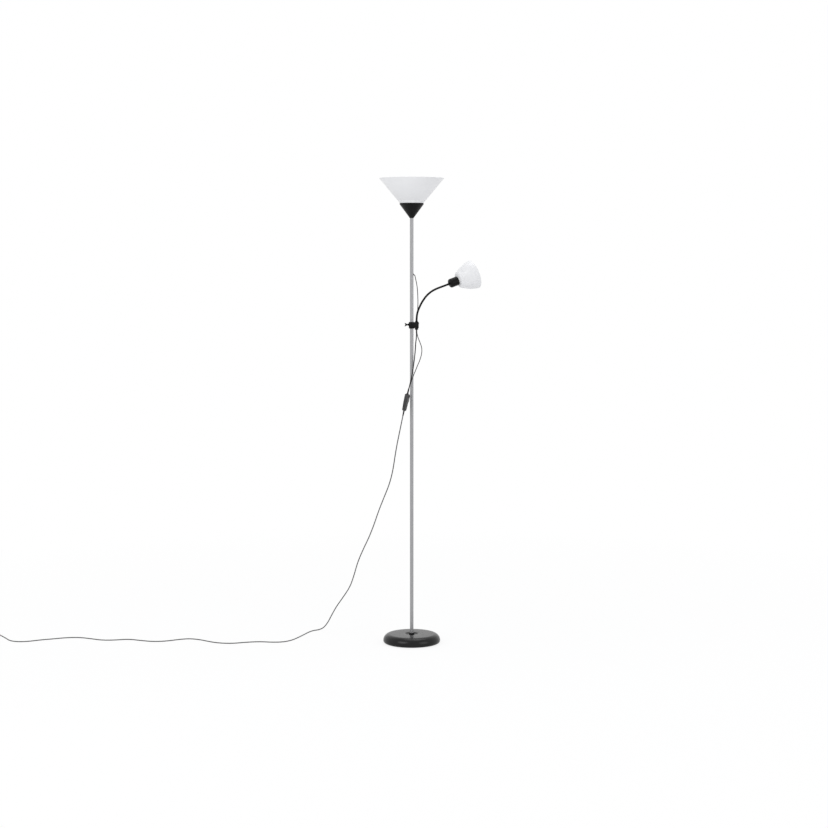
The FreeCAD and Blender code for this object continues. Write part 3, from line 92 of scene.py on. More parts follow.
def finish(name, dark, light, roughness, spread=0.06, patch=9.0, grain=1800.0, bump=0.05, **shader):
    """A material whose colour wanders between dark and light, with a fine grain in its surface."""
    material = bpy.data.materials.new(name)
    material.use_nodes = True
    nodes, links = material.node_tree.nodes, material.node_tree.links
    surface = nodes["Principled BSDF"]
    for socket, value in shader.items():
        surface.inputs[socket.replace("_", " ")].default_value = value
    place = nodes.new("ShaderNodeTexCoord")
    patches = add_node(nodes, "ShaderNodeTexNoise", Scale=patch, Detail=4.0, Roughness=0.6)
    links.new(place.outputs["Object"], patches.inputs["Vector"])
    colours = nodes.new("ShaderNodeValToRGB")
    colours.color_ramp.elements[0].position = DARKEST_AT
    colours.color_ramp.elements[1].position = LIGHTEST_AT
    colours.color_ramp.elements[0].color = (*dark, 1)
    colours.color_ramp.elements[1].color = (*light, 1)
    links.new(patches.outputs["Fac"], colours.inputs["Fac"])
    links.new(colours.outputs["Color"], surface.inputs["Base Color"])
    dull = nodes.new("ShaderNodeMapRange")
    dull.inputs["To Min"].default_value = roughness - spread
    dull.inputs["To Max"].default_value = roughness + spread
    smears = add_node(nodes, "ShaderNodeTexNoise", Scale=patch * SMEARS_PER_PATCH, Detail=3.0)
    links.new(place.outputs["Object"], smears.inputs["Vector"])
    links.new(smears.outputs["Fac"], dull.inputs["Value"])
    links.new(dull.outputs["Result"], surface.inputs["Roughness"])
    grains = add_node(nodes, "ShaderNodeTexNoise", Scale=grain, Detail=2.0)
    links.new(place.outputs["Object"], grains.inputs["Vector"])
    relief = add_node(nodes, "ShaderNodeBump", Strength=bump, Distance=0.0002)
    links.new(grains.outputs["Fac"], relief.inputs["Height"])
    links.new(relief.outputs["Normal"], surface.inputs["Normal"])
    return material


def grey(value, blue=0.0):
    return (value, value, value + blue)


print("smears are", SMEARS_PER_PATCH, "times as fine as patches")

# %% [markdown]
# The lamp has few finishes: a silver-grey coat on the pole, satin black on everything that joins or holds,
# dark sheaths on the cords, and three shades of white plastic. Rubber, bare metals, felt and frosted glass
# finish the small pieces and the insides. Black is never written as zero: a little colour and a weak
# reflection keep its forms readable.

# %% Finishes of the lamp
POLE_COAT = finish("silver_coat", grey(0.315, 0.005), grey(0.345, 0.007), 0.34, patch=14, grain=2600,
                   bump=0.04, Metallic=0.35)
BASE_COAT = finish("black_coat", grey(0.004), grey(0.006), 0.24, patch=12, grain=900, bump=0.04,
                   Specular_IOR_Level=0.23)
BLACK_PLASTIC = finish("black_plastic", grey(0.0045), grey(0.0065), 0.40, patch=30, grain=2200, bump=0.12,
                       Specular_IOR_Level=0.09)
SWITCH_PLASTIC = finish("switch_plastic", grey(0.028), grey(0.038), 0.36, patch=50, grain=1800, bump=0.08,
                        Specular_IOR_Level=0.3)
BLACK_GLOSS = finish("black_gloss", grey(0.050), grey(0.065), 0.2, spread=0.04, patch=40, grain=1200,
                     bump=0.03)
BLACK_METAL = finish("black_metal_coat", grey(0.004), grey(0.006), 0.34, patch=60, grain=3000, bump=0.08,
                     Specular_IOR_Level=0.09)
NECK_COAT = finish("gooseneck_coat", grey(0.0045), grey(0.0065), 0.3, patch=80, grain=3000, bump=0.05,
                   Specular_IOR_Level=0.1)
SHADE_WHITE = finish("uplight_plastic", (0.76, 0.762, 0.768), (0.785, 0.787, 0.793), 0.38, patch=6, grain=700,
                     bump=0.03)
BELL_WHITE = finish("bell_plastic", (0.735, 0.737, 0.745), (0.765, 0.767, 0.775), 0.36, patch=9, grain=800,
                    bump=0.03)
HOLDER_WHITE = finish("holder_plastic", (0.66, 0.66, 0.64), (0.72, 0.72, 0.70), 0.4, patch=30, grain=1500)
LAMP_GLASS = finish("frosted_glass", (0.80, 0.80, 0.79), (0.84, 0.84, 0.83), 0.28, patch=20, grain=2400,
                    bump=0.02, Subsurface_Weight=0.2, Subsurface_Scale=0.006, Coat_Weight=0.3)
CORD_SHEATH = finish("cord_sheath", grey(0.070), grey(0.090), 0.45, patch=50, grain=2500, bump=0.06,
                     Specular_IOR_Level=0.25)
FLEX_SHEATH = finish("flex_sheath", grey(0.012), grey(0.018), 0.45, patch=60, grain=2500, bump=0.06,
                     Specular_IOR_Level=0.15)
LIGHT_SHEATH = finish("reading_sheath", grey(0.004), grey(0.006), 0.45, patch=60, grain=2500, bump=0.06,
                      Specular_IOR_Level=0.09)
RUBBER = finish("rubber", grey(0.010), grey(0.015), 0.55, patch=60, grain=2800, bump=0.15,
                Specular_IOR_Level=0.2)
ZINC = finish("zinc", grey(0.50, 0.01), grey(0.62, 0.01), 0.34, patch=90, grain=1600, bump=0.1, Metallic=1.0)
NICKEL = finish("nickel", (0.60, 0.58, 0.54), (0.68, 0.66, 0.62), 0.2, patch=120, grain=2500, Metallic=1.0)
BRASS = finish("brass", (0.55, 0.40, 0.16), (0.68, 0.52, 0.24), 0.28, patch=70, grain=2000, Metallic=1.0)
CONCRETE = finish("ballast", grey(0.30), grey(0.42), 0.85, patch=25, grain=400, bump=0.6)
FELT = finish("felt", grey(0.02), grey(0.045), 0.95, patch=60, grain=3500, bump=0.8)
print("materials in the scene:", len(bpy.data.materials))

# %% [markdown]
# ## Cords
# A cord is a fixed length of something flexible. Its line is a NURBS spline of order 3: the control points
# are the corners of the route, and the curve passes near them without ever kinking. A round bevel gives it
# its thickness. The mains lead is one unbroken spline from the switch down to the floor, along the floor and
# into the small tied coil that keeps the spare length tidy outside the picture.

# %% Places that the cords join


def turn_about(axis, degrees):
    return Matrix.Rotation(math.radians(degrees), 4, axis)


CLAMP_HEIGHT = 1.225
ARM = Matrix.Translation((0, 0, CLAMP_HEIGHT)) @ turn_about("Z", 22)
EXIT_HEIGHT = 1.417
EXIT = Matrix.Translation((0, 0, EXIT_HEIGHT)) @ turn_about("Z", 41)
SWITCH_CENTRE = Vector((-22.75, -28, 932.75)) * MM
SWITCH = Matrix.Translation(SWITCH_CENTRE) @ turn_about("Y", 11.75) @ turn_about("Z", -25)
print("clamp, outlet and switch:", CLAMP_HEIGHT, EXIT_HEIGHT, round(SWITCH_CENTRE.z, 3), "m up")

# %% [markdown]
# Each route is a list of given points, in millimetres. The ends are written in the frame of the
# piece that they enter, so that a cord leaves its housing straight. `placed` turns both kinds into metres.

# %% Routes of the cords, in millimetres


def placed(place, *spots):
    """Spots in millimetres in a piece's own frame, as metres in the lamp's frame."""
    return [place @ (Vector(spot) * MM) for spot in spots]


UPLIGHT_FLEX = placed(EXIT, (0.4, 0, 232.5), (0, 0, 200), (0.8, 0, 155.8), (-0.8, 0, 107), (0.8, 0, 58.1),
                      (-2.6, 0, 16.3), (-1.5, 0, 0))
UPLIGHT_FLEX += placed(
    Matrix(), (11.32, 9.84, 1417), (14.5, 12.6, 1402.5), (17.7, 15.7, 1388), (20.9, 19.5, 1370),
    (23.1, 24, 1342), (24.2, 29, 1303), (21.2, 32.5, 1264), (18.5, 33, 1219), (20.5, 32, 1185),
    (30.5, 27.5, 1161), (38.5, 17.5, 1140), (39, 4, 1119), (32.5, -10, 1096), (22.5, -21.5, 1073),
    (12.5, -28.7, 1049), (2.8, -32.4, 1025), (-5.6, -32.4, 1001))
UPLIGHT_FLEX += placed(SWITCH, (0, -3.2, 46), (0, -3.2, 28))
READING_FLEX_UPPER = placed(ARM, (20, 0, -20.5), (20, 0, -45))
READING_FLEX_UPPER += placed(Matrix(), (15, 3.9, 1156), (14.1, -0.5, 1132.5), (12, -4.5, 1113.1))
READING_FLEX_LOWER = placed(Matrix(), (12, -4.5, 1112.9), (9.6, -9, 1091), (6, -13.5, 1064),
                            (1.8, -16.7, 1039), (-3.2, -20, 1016), (-8, -23, 996))
READING_FLEX_LOWER += placed(SWITCH, (0, 3.2, 44), (0, 3.2, 28))
MAINS_LEAD = placed(SWITCH, (0, 0, -27), (0, 0, -69))
MAINS_LEAD += placed(
    Matrix(), (-45, -20, 824), (-55, -9, 776), (-64, 7, 723), (-72, 25, 667), (-86, 41, 611), (-107, 55, 558),
    (-128, 71, 504), (-146, 87, 449), (-166, 104, 396), (-190, 120, 345), (-212, 135, 292), (-226, 150, 240),
    (-243, 166, 189), (-271, 180, 145), (-299, 194, 104), (-319, 208, 66), (-334, 221, 35), (-351, 232, 12),
    (-370, 235, 3), (-387, 229, 2), (-401, 211, 2), (-414, 178, 2), (-430, 130, 2), (-447, 82, 2),
    (-466, 38, 2), (-497, 6, 2), (-541, 2, 2), (-585, 14, 2), (-638, 3, 2), (-692, -21, 2), (-744, -12, 2),
    (-783, 14, 2), (-822, 50, 2), (-866, 70, 2), (-907, 53, 2), (-948, 24, 2), (-998, 13, 2), (-1048, 33, 2),
    (-1102, 60, 2), (-1152, 42, 2), (-1202, 40, 2), (-1247, 66, 2), (-1296, 92, 2), (-1349, 88, 2),
    (-1397, 64, 2), (-1440, 46, 2), (-1488, 14, 2), (-1530, 12, 2), (-1560, 34, 2), (-1579, 70, 2),
    (-1604, 112, 2), (-1631, 154, 2.3), (-1650.8, 188, 3.3))
print("points of the flexes:", len(UPLIGHT_FLEX), len(READING_FLEX_UPPER), len(READING_FLEX_LOWER))

# %% [markdown]
# The coil's turns are more control points of the same spline, about twelve to a turn. The points lie a little
# outside the turn's real radius, because the spline cuts inside its corners. The first turn lies low, then
# the cord climbs by its own thickness beside itself and lies on top of the first turn.

# %% Turns of the coil
COIL = Vector((-1.682, 0.203, 0))
COIL_RADIUS = 0.022
COIL_START = math.radians(25)
COIL_LOW, COIL_RISE = 0.0033, 0.0045
CLIMB_FROM, CLIMB_TURNS = 0.45, 0.53
TURNS = 1.43
COIL_STEPS = 18


def coil_spot(turns):
    ramp = max(0.0, min(1.0, (turns - CLIMB_FROM) / CLIMB_TURNS))
    height = COIL_LOW + COIL_RISE * ramp * ramp * (3 - 2 * ramp)
    angle = COIL_START + 2 * math.pi * turns
    reach = COIL_RADIUS / math.cos(math.pi * TURNS / COIL_STEPS) ** 0.5
    return COIL + Vector((reach * math.cos(angle), reach * math.sin(angle), height))


MAINS_LEAD += [coil_spot(TURNS * (i + 0.5) / COIL_STEPS) for i in range(COIL_STEPS)]
WEST = COIL.x - COIL_RADIUS
PLUG_HEIGHT = 0.0069
for past_coil, height in ((0.010, COIL_LOW + COIL_RISE), (0.027, PLUG_HEIGHT), (0.057, PLUG_HEIGHT)):
    MAINS_LEAD.append(Vector((WEST, COIL.y - past_coil, height)))
print("points of the mains lead:", len(MAINS_LEAD))

# %% [markdown]
# `spline_curve` makes the curve and `length_of` measures it by reading the line back as a mesh without its
# bevel. The order and the end points are set after the points are there, otherwise Blender lowers the order
# and the cord would look like bent wire.

# %% Helpers for cords
FLEX_DIAMETER, LEAD_DIAMETER = 0.003, 0.004
CORD_SIDES = 6


def spline_curve(name, spots, diameter):
    curve = bpy.data.curves.new(name, "CURVE")
    curve.dimensions = "3D"
    curve.resolution_u = 10
    curve.use_fill_caps = True
    curve.bevel_resolution = CORD_SIDES
    spline = curve.splines.new("NURBS")
    spline.points.add(len(spots) - 1)
    for point, spot in zip(spline.points, spots):
        point.co = (*spot, 1)
    spline.order_u = 3
    spline.use_endpoint_u = True
    curve.bevel_depth = diameter / 2
    obj = bpy.data.objects.new(name, curve)
    scene.collection.objects.link(obj)
    return obj


def line_of(obj):
    """The points of a curve's own line."""
    thickness = obj.data.bevel_depth
    obj.data.bevel_depth = 0
    bpy.context.view_layer.update()
    mesh = bpy.data.meshes.new_from_object(obj)
    spots = [vertex.co.copy() for vertex in mesh.vertices]
    bpy.data.meshes.remove(mesh)
    obj.data.bevel_depth = thickness
    return spots


def length_of(spots):
    return sum((b - a).length for a, b in zip(spots, spots[1:]))


print("flex and lead:", FLEX_DIAMETER, LEAD_DIAMETER, "m thick")

# %% [markdown]
# Every piece below is finished in the same way: it gets its material, rides on a body and hides the nodes
# that it stands for. One helper says all of it, so no piece can miss a step.

# %% A helper that dresses a piece
dressed = []


def dress(obj, material, body, slot_name, *nodes):
    """Give a piece its finish, its body and the nodes that it stands for; the slot name is not used."""
    obj.data.materials.clear()
    obj.data.materials.append(material)
    if body:
        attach(obj, body)
    if nodes:
        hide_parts(*nodes)
    dressed.append(obj.name)
    return obj


# %% [markdown]
# The uplight's flex and the mains lead belong to the standing part and never move.

# %% Cords that stay with the stand
uplight_flex = spline_curve("uplight_cord", UPLIGHT_FLEX, FLEX_DIAMETER)
uplight_line = line_of(uplight_flex)
dress(uplight_flex, FLEX_SHEATH, "stand", "grey_cord", "uplight_flex")
mains_lead = spline_curve("mains_cord", MAINS_LEAD, LEAD_DIAMETER)
mains_line = line_of(mains_lead)
dress(mains_lead, CORD_SHEATH, "stand", "grey_cord", "mains_lead", "lead_coil")
print("uplight flex:", round(length_of(uplight_line), 3), "m")
print("mains lead:", round(length_of(mains_line), 3), "m")

# %% [markdown]
# The reading light's flex is a mesh tube in two stretches: the upper one runs between the slider and the arm,
# and the lower one between the stand and the slider.

# %% Cords that run to the clamp


def bending_cord(name, spots, node):
    curve = spline_curve(name + "_line", spots, LEAD_DIAMETER)
    line = line_of(curve)
    mesh = bpy.data.meshes.new_from_object(curve)
    mesh.name = name
    tube = bpy.data.objects.new(name, mesh)
    scene.collection.objects.link(tube)
    bpy.data.objects.remove(curve)
    for face in mesh.polygons:
        face.use_smooth = True
    dress(tube, LIGHT_SHEATH, None, "grey_cord", node)
    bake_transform(tube)
    print(name + ":", round(length_of(line), 3), "m")


bending_cord("reading_cord_upper", READING_FLEX_UPPER, "reading_flex_upper")
bending_cord("reading_cord_lower", READING_FLEX_LOWER, "reading_flex_lower")

# %% [markdown]
# ## Turned pieces
# Most of the lamp is round about some axis: base, pole, cone, shades, lamps. On the real lamp they are spun
# or moulded, and here they are turned the same way. `lathe` walks a bmesh along an outline of (radius,
# height) corners. A straight step adds a vertex, and a corner with a third number spins the last vertex
# about the arc's centre, so the arcs are true. The whole outline is then spun once round the axis.

# %% Helpers for outlines
WELD = 0.000002


def arc_centre(start, end, bend):
    """Centre and angle of the arc between two (radius, height) corners; a positive bend turns to the left."""
    chord = end - start
    rise = math.sqrt(max(bend * bend - chord.length_squared / 4, 0))
    left = Vector((-chord.y, chord.x)).normalized()
    centre = (start + end) / 2 + left * math.copysign(rise, bend)
    angle = 2 * math.asin(min(chord.length / 2 / abs(bend), 1))
    return centre, math.copysign(angle, bend)


def draw_outline(bm, corners, arc_step=0.12):
    """A closed wire in the XZ plane through corners in millimetres."""
    first = bm.verts.new((corners[0][0] * MM, 0, corners[0][1] * MM))
    last = first
    for corner in [*corners[1:], corners[0]]:
        closing = corner is corners[0]
        if len(corner) == 3:
            start = Vector((last.co.x, last.co.z))
            centre, angle = arc_centre(start, Vector(corner[:2]) * MM, corner[2] * MM)
            steps = max(2, math.ceil(abs(angle) / arc_step))
            made = bmesh.ops.spin(bm, geom=[last], cent=(centre.x, 0, centre.y), axis=(0, -1, 0), angle=angle,
                                  steps=steps)
            last = [item for item in made["geom_last"] if isinstance(item, bmesh.types.BMVert)][0]
            if closing:
                bmesh.ops.pointmerge(bm, verts=[last, first], merge_co=first.co)
            continue
        following = first if closing else bm.verts.new((corner[0] * MM, 0, corner[1] * MM))
        bm.edges.new((last, following))
        last = following


print("vertices nearer than", WELD, "m become one")

# %% [markdown]
# A finished mesh becomes an object that sits at the origin, with its place in its mesh, so that a pattern on
# Object coordinates never slides. Smooth shading stops at sharp edges. `soften` bevels those edges, because
# no moulded or turned edge is truly sharp, and a bevel is what catches the light.

# %% Helpers for finished meshes


def to_object(bm, name, place=Matrix(), sharp=32):
    """A finished bmesh as an object at the origin, with its place in its mesh."""
    bmesh.ops.transform(bm, matrix=place, verts=bm.verts)
    mesh = bpy.data.meshes.new(name)
    for face in bm.faces:
        face.smooth = True
    bm.to_mesh(mesh)
    bm.free()
    mesh.set_sharp_from_angle(angle=math.radians(sharp))
    obj = bpy.data.objects.new(name, mesh)
    scene.collection.objects.link(obj)
    return obj


def soften(bm, edge, corner=35):
    """Bevel every edge that turns by more than the corner angle."""
    if edge:
        sharp = [e for e in bm.edges if len(e.link_faces) == 2 and e.calc_face_angle() > math.radians(corner)]
        bmesh.ops.bevel(bm, geom=sharp, offset=edge * MM, offset_type="OFFSET", affect="EDGES", segments=2,
                        profile=0.5, material=-1, clamp_overlap=True)


def lathe(name, corners, place=Matrix(), steps=96, edge=0.0, arc_step=0.12):
    bm = bmesh.new()
    draw_outline(bm, corners, arc_step)
    bmesh.ops.spin(bm, geom=bm.verts[:] + bm.edges[:], cent=(0, 0, 0), axis=(0, 0, 1), angle=2 * math.pi,
                   steps=steps, use_merge=True)
    bmesh.ops.remove_doubles(bm, verts=bm.verts, dist=WELD)
    bmesh.ops.recalc_face_normals(bm, faces=bm.faces)
    soften(bm, edge)
    return to_object(bm, name, place)


def extrude(bm, faces, offset):
    """Extrude faces and move the new ones by an offset in millimetres; what was made is returned."""
    made = bmesh.ops.extrude_face_region(bm, geom=faces)["geom"]
    moved = [item for item in made if isinstance(item, bmesh.types.BMVert)]
    bmesh.ops.translate(bm, verts=moved, vec=Vector(offset) * MM)
    return made


print("cords made so far:", len(dressed))

# %% [markdown]
# ## Base
# The base is a pressed steel cover over a cast weight. Its top is a flat ring that dips in a soft hollow
# towards the pole, the shoulder is a generous quarter round, and the lower edge curls in above the felt pads.
# The cover is a closed shell of real sheet thickness, because its curled edge is seen from below.

# %% Base cover, bottom plate and collar
base_cover = lathe("base_shell", [
    (5.3, 33), (16, 33), (23, 35, 13.25), (30, 37, -13.25), (84.75, 37), (109.75, 12, -25), (109.75, 11),
    (100.75, 2, -9), (100.75, 3.5), (108.25, 11, 7.5), (108.25, 12), (84.75, 35.5, 23.5), (30, 35.5),
    (23, 33.5, 13.25), (16, 31.5, -13.25), (5.3, 31.5)], steps=160, arc_step=0.08)
dress(base_cover, BASE_COAT, "stand", "black_paint", "base_cover")
base_plate = lathe("base_bottom_plate", [(14, 2), (100.45, 2), (100.45, 3.5), (14, 3.5)], steps=128)
dress(base_plate, ZINC, "stand", "zinc_plate", "base_plate")
foot_collar = lathe("pole_foot_collar", [
    (6.8, 33.2), (10.25, 33.2), (10.25, 38.5), (8.75, 40, 1.5), (6.8, 40)], steps=72, edge=0.25)
dress(foot_collar, BLACK_PLASTIC, "stand", "black_plastic", "foot_collar")

# %% [markdown]
# Each pad is a little disc of felt. Its edge is rounded by a bevel, so that it looks cut from cloth and not
# from sheet metal.

# %% Felt pads


def round_disc(bm, radius, thickness, place, steps=40):
    """A disc that is as thick as is said, upwards from its place."""
    rim = bmesh.ops.create_circle(bm, cap_ends=True, segments=steps, radius=radius * MM, matrix=place)
    extrude(bm, [rim["verts"][0].link_faces[0]], (0, 0, thickness))


PADS = 6
PAD_REACH = 0.08675
PAD_RADIUS, MIDDLE_RADIUS, PAD_THICKNESS = 7, 17, 2
pads = bmesh.new()
for i in range(PADS):
    spoke = turn_about("Z", 360 / PADS * i) @ Matrix.Translation((PAD_REACH, 0, 0))
    round_disc(pads, PAD_RADIUS, PAD_THICKNESS, spoke)
round_disc(pads, MIDDLE_RADIUS, PAD_THICKNESS, Matrix())
bmesh.ops.recalc_face_normals(pads, faces=pads.faces)
soften(pads, 0.35)
foot_pads = to_object(pads, "felt_pads")
dress(foot_pads, FELT, "stand", "felt", "foot_pads")
print("pads:", PADS, "round the edge and one in the middle")

# %% [markdown]
# ## Pole
# Three steel tubes screw together. Each end is slightly broken, so a joint shows as a hair line and no more.
# The grommet in the upper tube lets the uplight's flex out.

# %% Pole tubes and grommet
POLE_FOOT, POLE_TOP = 35, 1629.5
SECTION = (POLE_TOP - POLE_FOOT) / 3
POLE_RADIUS, BORE_RADIUS, BROKEN_EDGE = 6.75, 5.75, 0.25
for i, label in enumerate(("lower", "middle", "upper")):
    low = POLE_FOOT + SECTION * i
    high = low + SECTION
    end_radius = POLE_RADIUS - BROKEN_EDGE
    tube = lathe("tube_" + label, [
        (BORE_RADIUS, low), (end_radius, low), (POLE_RADIUS, low + BROKEN_EDGE),
        (POLE_RADIUS, high - BROKEN_EDGE), (end_radius, high), (BORE_RADIUS, high)], steps=64)
    dress(tube, POLE_COAT, "stand", "silver_paint", "pole_tube_" + label)
grommet = lathe("flex_outlet", [
    (1.55, 5.75), (3.45, 5.75), (3.45, 6.8), (4.3, 6.8), (4.3, 7.3), (3.5, 8.3, 1.0), (1.65, 8.3),
    (1.55, 8.2)], EXIT @ turn_about("Y", 90), steps=40)
dress(grommet, RUBBER, "stand", "black_rubber", "flex_grommet")
print("one tube:", round(SECTION, 1), "mm")

# %% [markdown]
# ## Uplight
# A black cone holds the lampholder, and the white shade sits on the cone's rim band under a screwed ring. A
# fine step runs round the shade a centimetre above the band. The lamp inside is a frosted bulb.

# %% Cone, shade, ring, holder and lamp
cone = lathe("uplight_cone", [
    (5.3, 1629.5), (7.25, 1629.5), (44.5, 1680), (45.3, 1680), (45.3, 1685.6), (44.9, 1686), (44, 1686),
    (7.9, 1633.5), (5.3, 1633.5)], steps=128, edge=0.2)
dress(cone, BLACK_PLASTIC, "stand", "black_plastic", "uplight_cup")
shade = lathe("uplight_shade_skin", [
    (19.55, 1686), (45.2, 1686), (52.8, 1696), (53.4, 1696.2), (122.5, 1779.1), (120.2, 1779.1, 1.26),
    (44.5, 1687.8), (19.55, 1687.8)], steps=160, edge=0.15)
dress(shade, SHADE_WHITE, "stand", "white_shade", "uplight_shade")
shade_ring = lathe("shade_fixing_ring", [
    (19.55, 1687.8), (26, 1687.8), (26, 1689.8), (22.5, 1689.8), (22.5, 1695.8), (19.55, 1695.8)], steps=72,
    edge=0.3)
dress(shade_ring, HOLDER_WHITE, "stand", "white_holder", "shade_ring")
lampholder = lathe("uplight_lampholder", [
    (5.05, 1643.5), (9, 1643.5), (9, 1649.5), (19.5, 1658.5), (19.5, 1684), (24.5, 1684), (24.5, 1686),
    (19.5, 1686), (19.5, 1702), (13.8, 1702), (13.8, 1659.5), (3.4, 1659.5), (3.4, 1653.5), (5.05, 1653.5)],
    steps=72, edge=0.3)
dress(lampholder, HOLDER_WHITE, "stand", "white_holder", "uplight_holder")
bulb = lathe("uplight_lamp", [
    (12.5, 1688.5), (13.2, 1700.5), (18, 1708.5), (30, 1736.5, 48), (0, 1766.5, 30), (0, 1765.5),
    (29, 1736.5, -29), (17, 1708.5, -48), (12.2, 1700.5), (11.5, 1688.5)], steps=96, arc_step=0.1)
dress(bulb, LAMP_GLASS, "stand", "frosted_glass", "uplight_bulb")

# %% [markdown]
# ## Clamp
# The clamp block is the hull of two circles, one round the pole and one round the gooseneck's stem, so
# `convex_hull` makes it from two rings. A boss on the far side carries the wing screw. All edges are broken
# the way a moulding is.

# %% Clamp block and liner
STEM_REACH = 20
BLOCK_HEIGHT = 23
block = bmesh.new()
for reach, radius in ((0, 11), (STEM_REACH, 8.5)):
    bmesh.ops.create_circle(block, segments=72, radius=radius * MM,
                            matrix=Matrix.Translation(Vector((reach, 0, -BLOCK_HEIGHT / 2)) * MM))
bmesh.ops.convex_hull(block, input=block.verts)
bmesh.ops.delete(block, geom=[v for v in block.verts if not v.link_faces], context="VERTS")
bmesh.ops.dissolve_limit(block, angle_limit=math.radians(1), verts=block.verts, edges=block.edges)
extrude(block, block.faces[:], (0, 0, BLOCK_HEIGHT))
bmesh.ops.recalc_face_normals(block, faces=block.faces)
soften(block, 1.4, corner=60)
clamp_block = to_object(block, "clamp_body", ARM)
dress(clamp_block, BLACK_PLASTIC, "arm_clamp", "black_plastic", "clamp_block")
SCREW = ARM @ Matrix.Translation((0, 0, 2 * MM)) @ turn_about("Y", -90)
boss = lathe("clamp_boss", [(2.55, 10), (4.5, 10), (4.5, 14.1), (4.1, 14.5, 0.4), (2.55, 14.5)], SCREW,
             steps=40)
dress(boss, BLACK_PLASTIC, "arm_clamp", "black_plastic")
liner = lathe("clamp_sleeve", [
    (6.8, -12.95), (9.55, -12.95), (9.55, -11.55), (7.85, -11.55), (7.85, 12), (6.8, 12)], ARM, steps=56,
    edge=0.15)
dress(liner, BLACK_PLASTIC, "clamp_slider", "liner_plastic", "clamp_liner")
print("clamp block:", [round(v, 3) for v in clamp_block.dimensions])

# %% [markdown]
# The wing screw is turned from a rod, with two flat wings that spread like a fish's tail. The wings start as
# one flat outline, which is extruded and bevelled.

# %% Wing screw


def flat_piece(name, outline, thickness, place, edge=0.5, corners=0.0, corner_angle=35):
    """An outline in the XY plane, extruded half its thickness to each side and softened."""
    bm = bmesh.new()
    spots = [bm.verts.new((x * MM, y * MM, -thickness / 2 * MM)) for x, y in outline]
    bm.faces.new(spots)
    if corners:
        bmesh.ops.bevel(bm, geom=spots, offset=corners * MM, affect="VERTICES", segments=5, profile=0.5,
                        material=-1)
    extrude(bm, bm.faces[:], (0, 0, thickness))
    bmesh.ops.recalc_face_normals(bm, faces=bm.faces)
    soften(bm, edge, corner_angle)
    return to_object(bm, name, place)


shank = lathe("wing_screw_shank", [
    (0, 9.05), (1.2, 9.05), (1.2, 10.05), (2.5, 10.05), (2.5, 17), (3.1, 18), (3.1, 21), (2.2, 23),
    (0, 23.4)], SCREW, steps=40, edge=0.15)
dress(shank, BLACK_METAL, "wing_screw", "black_ferrule", "wing_screw")
wings = flat_piece("wing_screw_wings", [
    (-2.4, 17.6), (2.4, 17.6), (3.6, 20.5), (5.2, 24.3), (6.5, 27.3), (6.1, 29.5), (4.2, 27.9), (0, 25.6),
    (-4.2, 27.9), (-6.1, 29.5), (-6.5, 27.3), (-5.2, 24.3), (-3.6, 20.5)], 2.4,
    SCREW @ turn_about("X", 90))
dress(wings, BLACK_METAL, "wing_screw", "black_ferrule")

# %% [markdown]
# ## Gooseneck
# The neck is a wound metal tube: close rings under a black coat, over a chain of ball joints that lets it
# bend and stay. Its line is again a NURBS spline, with the chain's balls as its control points, so the line
# touches every link at its middle. Rings of slightly different radius are placed along it and bridged. The
# skin is cut near the middle of each link, so that every section spans one ball.

# %% Line of the gooseneck
BENDS = (8, 16, 6, 8, 12, 13, 8, 0.5, -1.1)
PITCH = 24
FIRST_BALL = 25
NECK_DIAMETER = 0.008


def ball_frames():
    frames = []
    where = ARM @ Matrix.Translation(Vector((STEM_REACH, 0, FIRST_BALL)) * MM)
    for bend in BENDS:
        where = where @ turn_about("Y", bend)
        frames.append(where)
        where = where @ Matrix.Translation((0, 0, PITCH * MM))
    return frames


BALLS = ball_frames()
HEAD = BALLS[-1]
neck_spots = [ball.translation for ball in BALLS]
neck_spots = placed(ARM, (STEM_REACH, 0, 13)) + neck_spots + placed(HEAD, (0, 0, 9))
neck_guide = spline_curve("neck_guide", neck_spots, NECK_DIAMETER)
neck_guide.data.resolution_u = 40
neck_line = line_of(neck_guide)
bpy.data.objects.remove(neck_guide)
print("gooseneck:", round(length_of(neck_line), 3), "m,", len(neck_line), "points on its line")

# %% [markdown]
# The rings need even steps along the line, so the line is walked once and resampled at a quarter of the
# winding's pitch. Each ring's radius follows the round backs of the winding, and the skin is only cut at the
# bottom of a groove.

# %% Rings along the line
WINDING = 0.0022
RING_RADII = (0.00345, 0.00392, 0.004, 0.00392)
PER_WINDING = len(RING_RADII)


def even_spots(line, step):
    spots, carried = [line[0]], 0.0
    for start, end in zip(line, line[1:]):
        run = (end - start).length
        while carried + run >= step:
            start = start.lerp(end, (step - carried) / run)
            run = (end - start).length
            carried = 0.0
            spots.append(start)
        carried += run
    return spots


ring_spots = even_spots(neck_line, WINDING / PER_WINDING)
grooves = range(0, len(ring_spots), PER_WINDING)
cuts = [0]
for ball, following in zip(BALLS, BALLS[1:]):
    middle = (ball.translation + following.translation) / 2
    cuts.append(min(grooves, key=lambda i: (ring_spots[i] - middle).length))
cuts.append(grooves[-1])


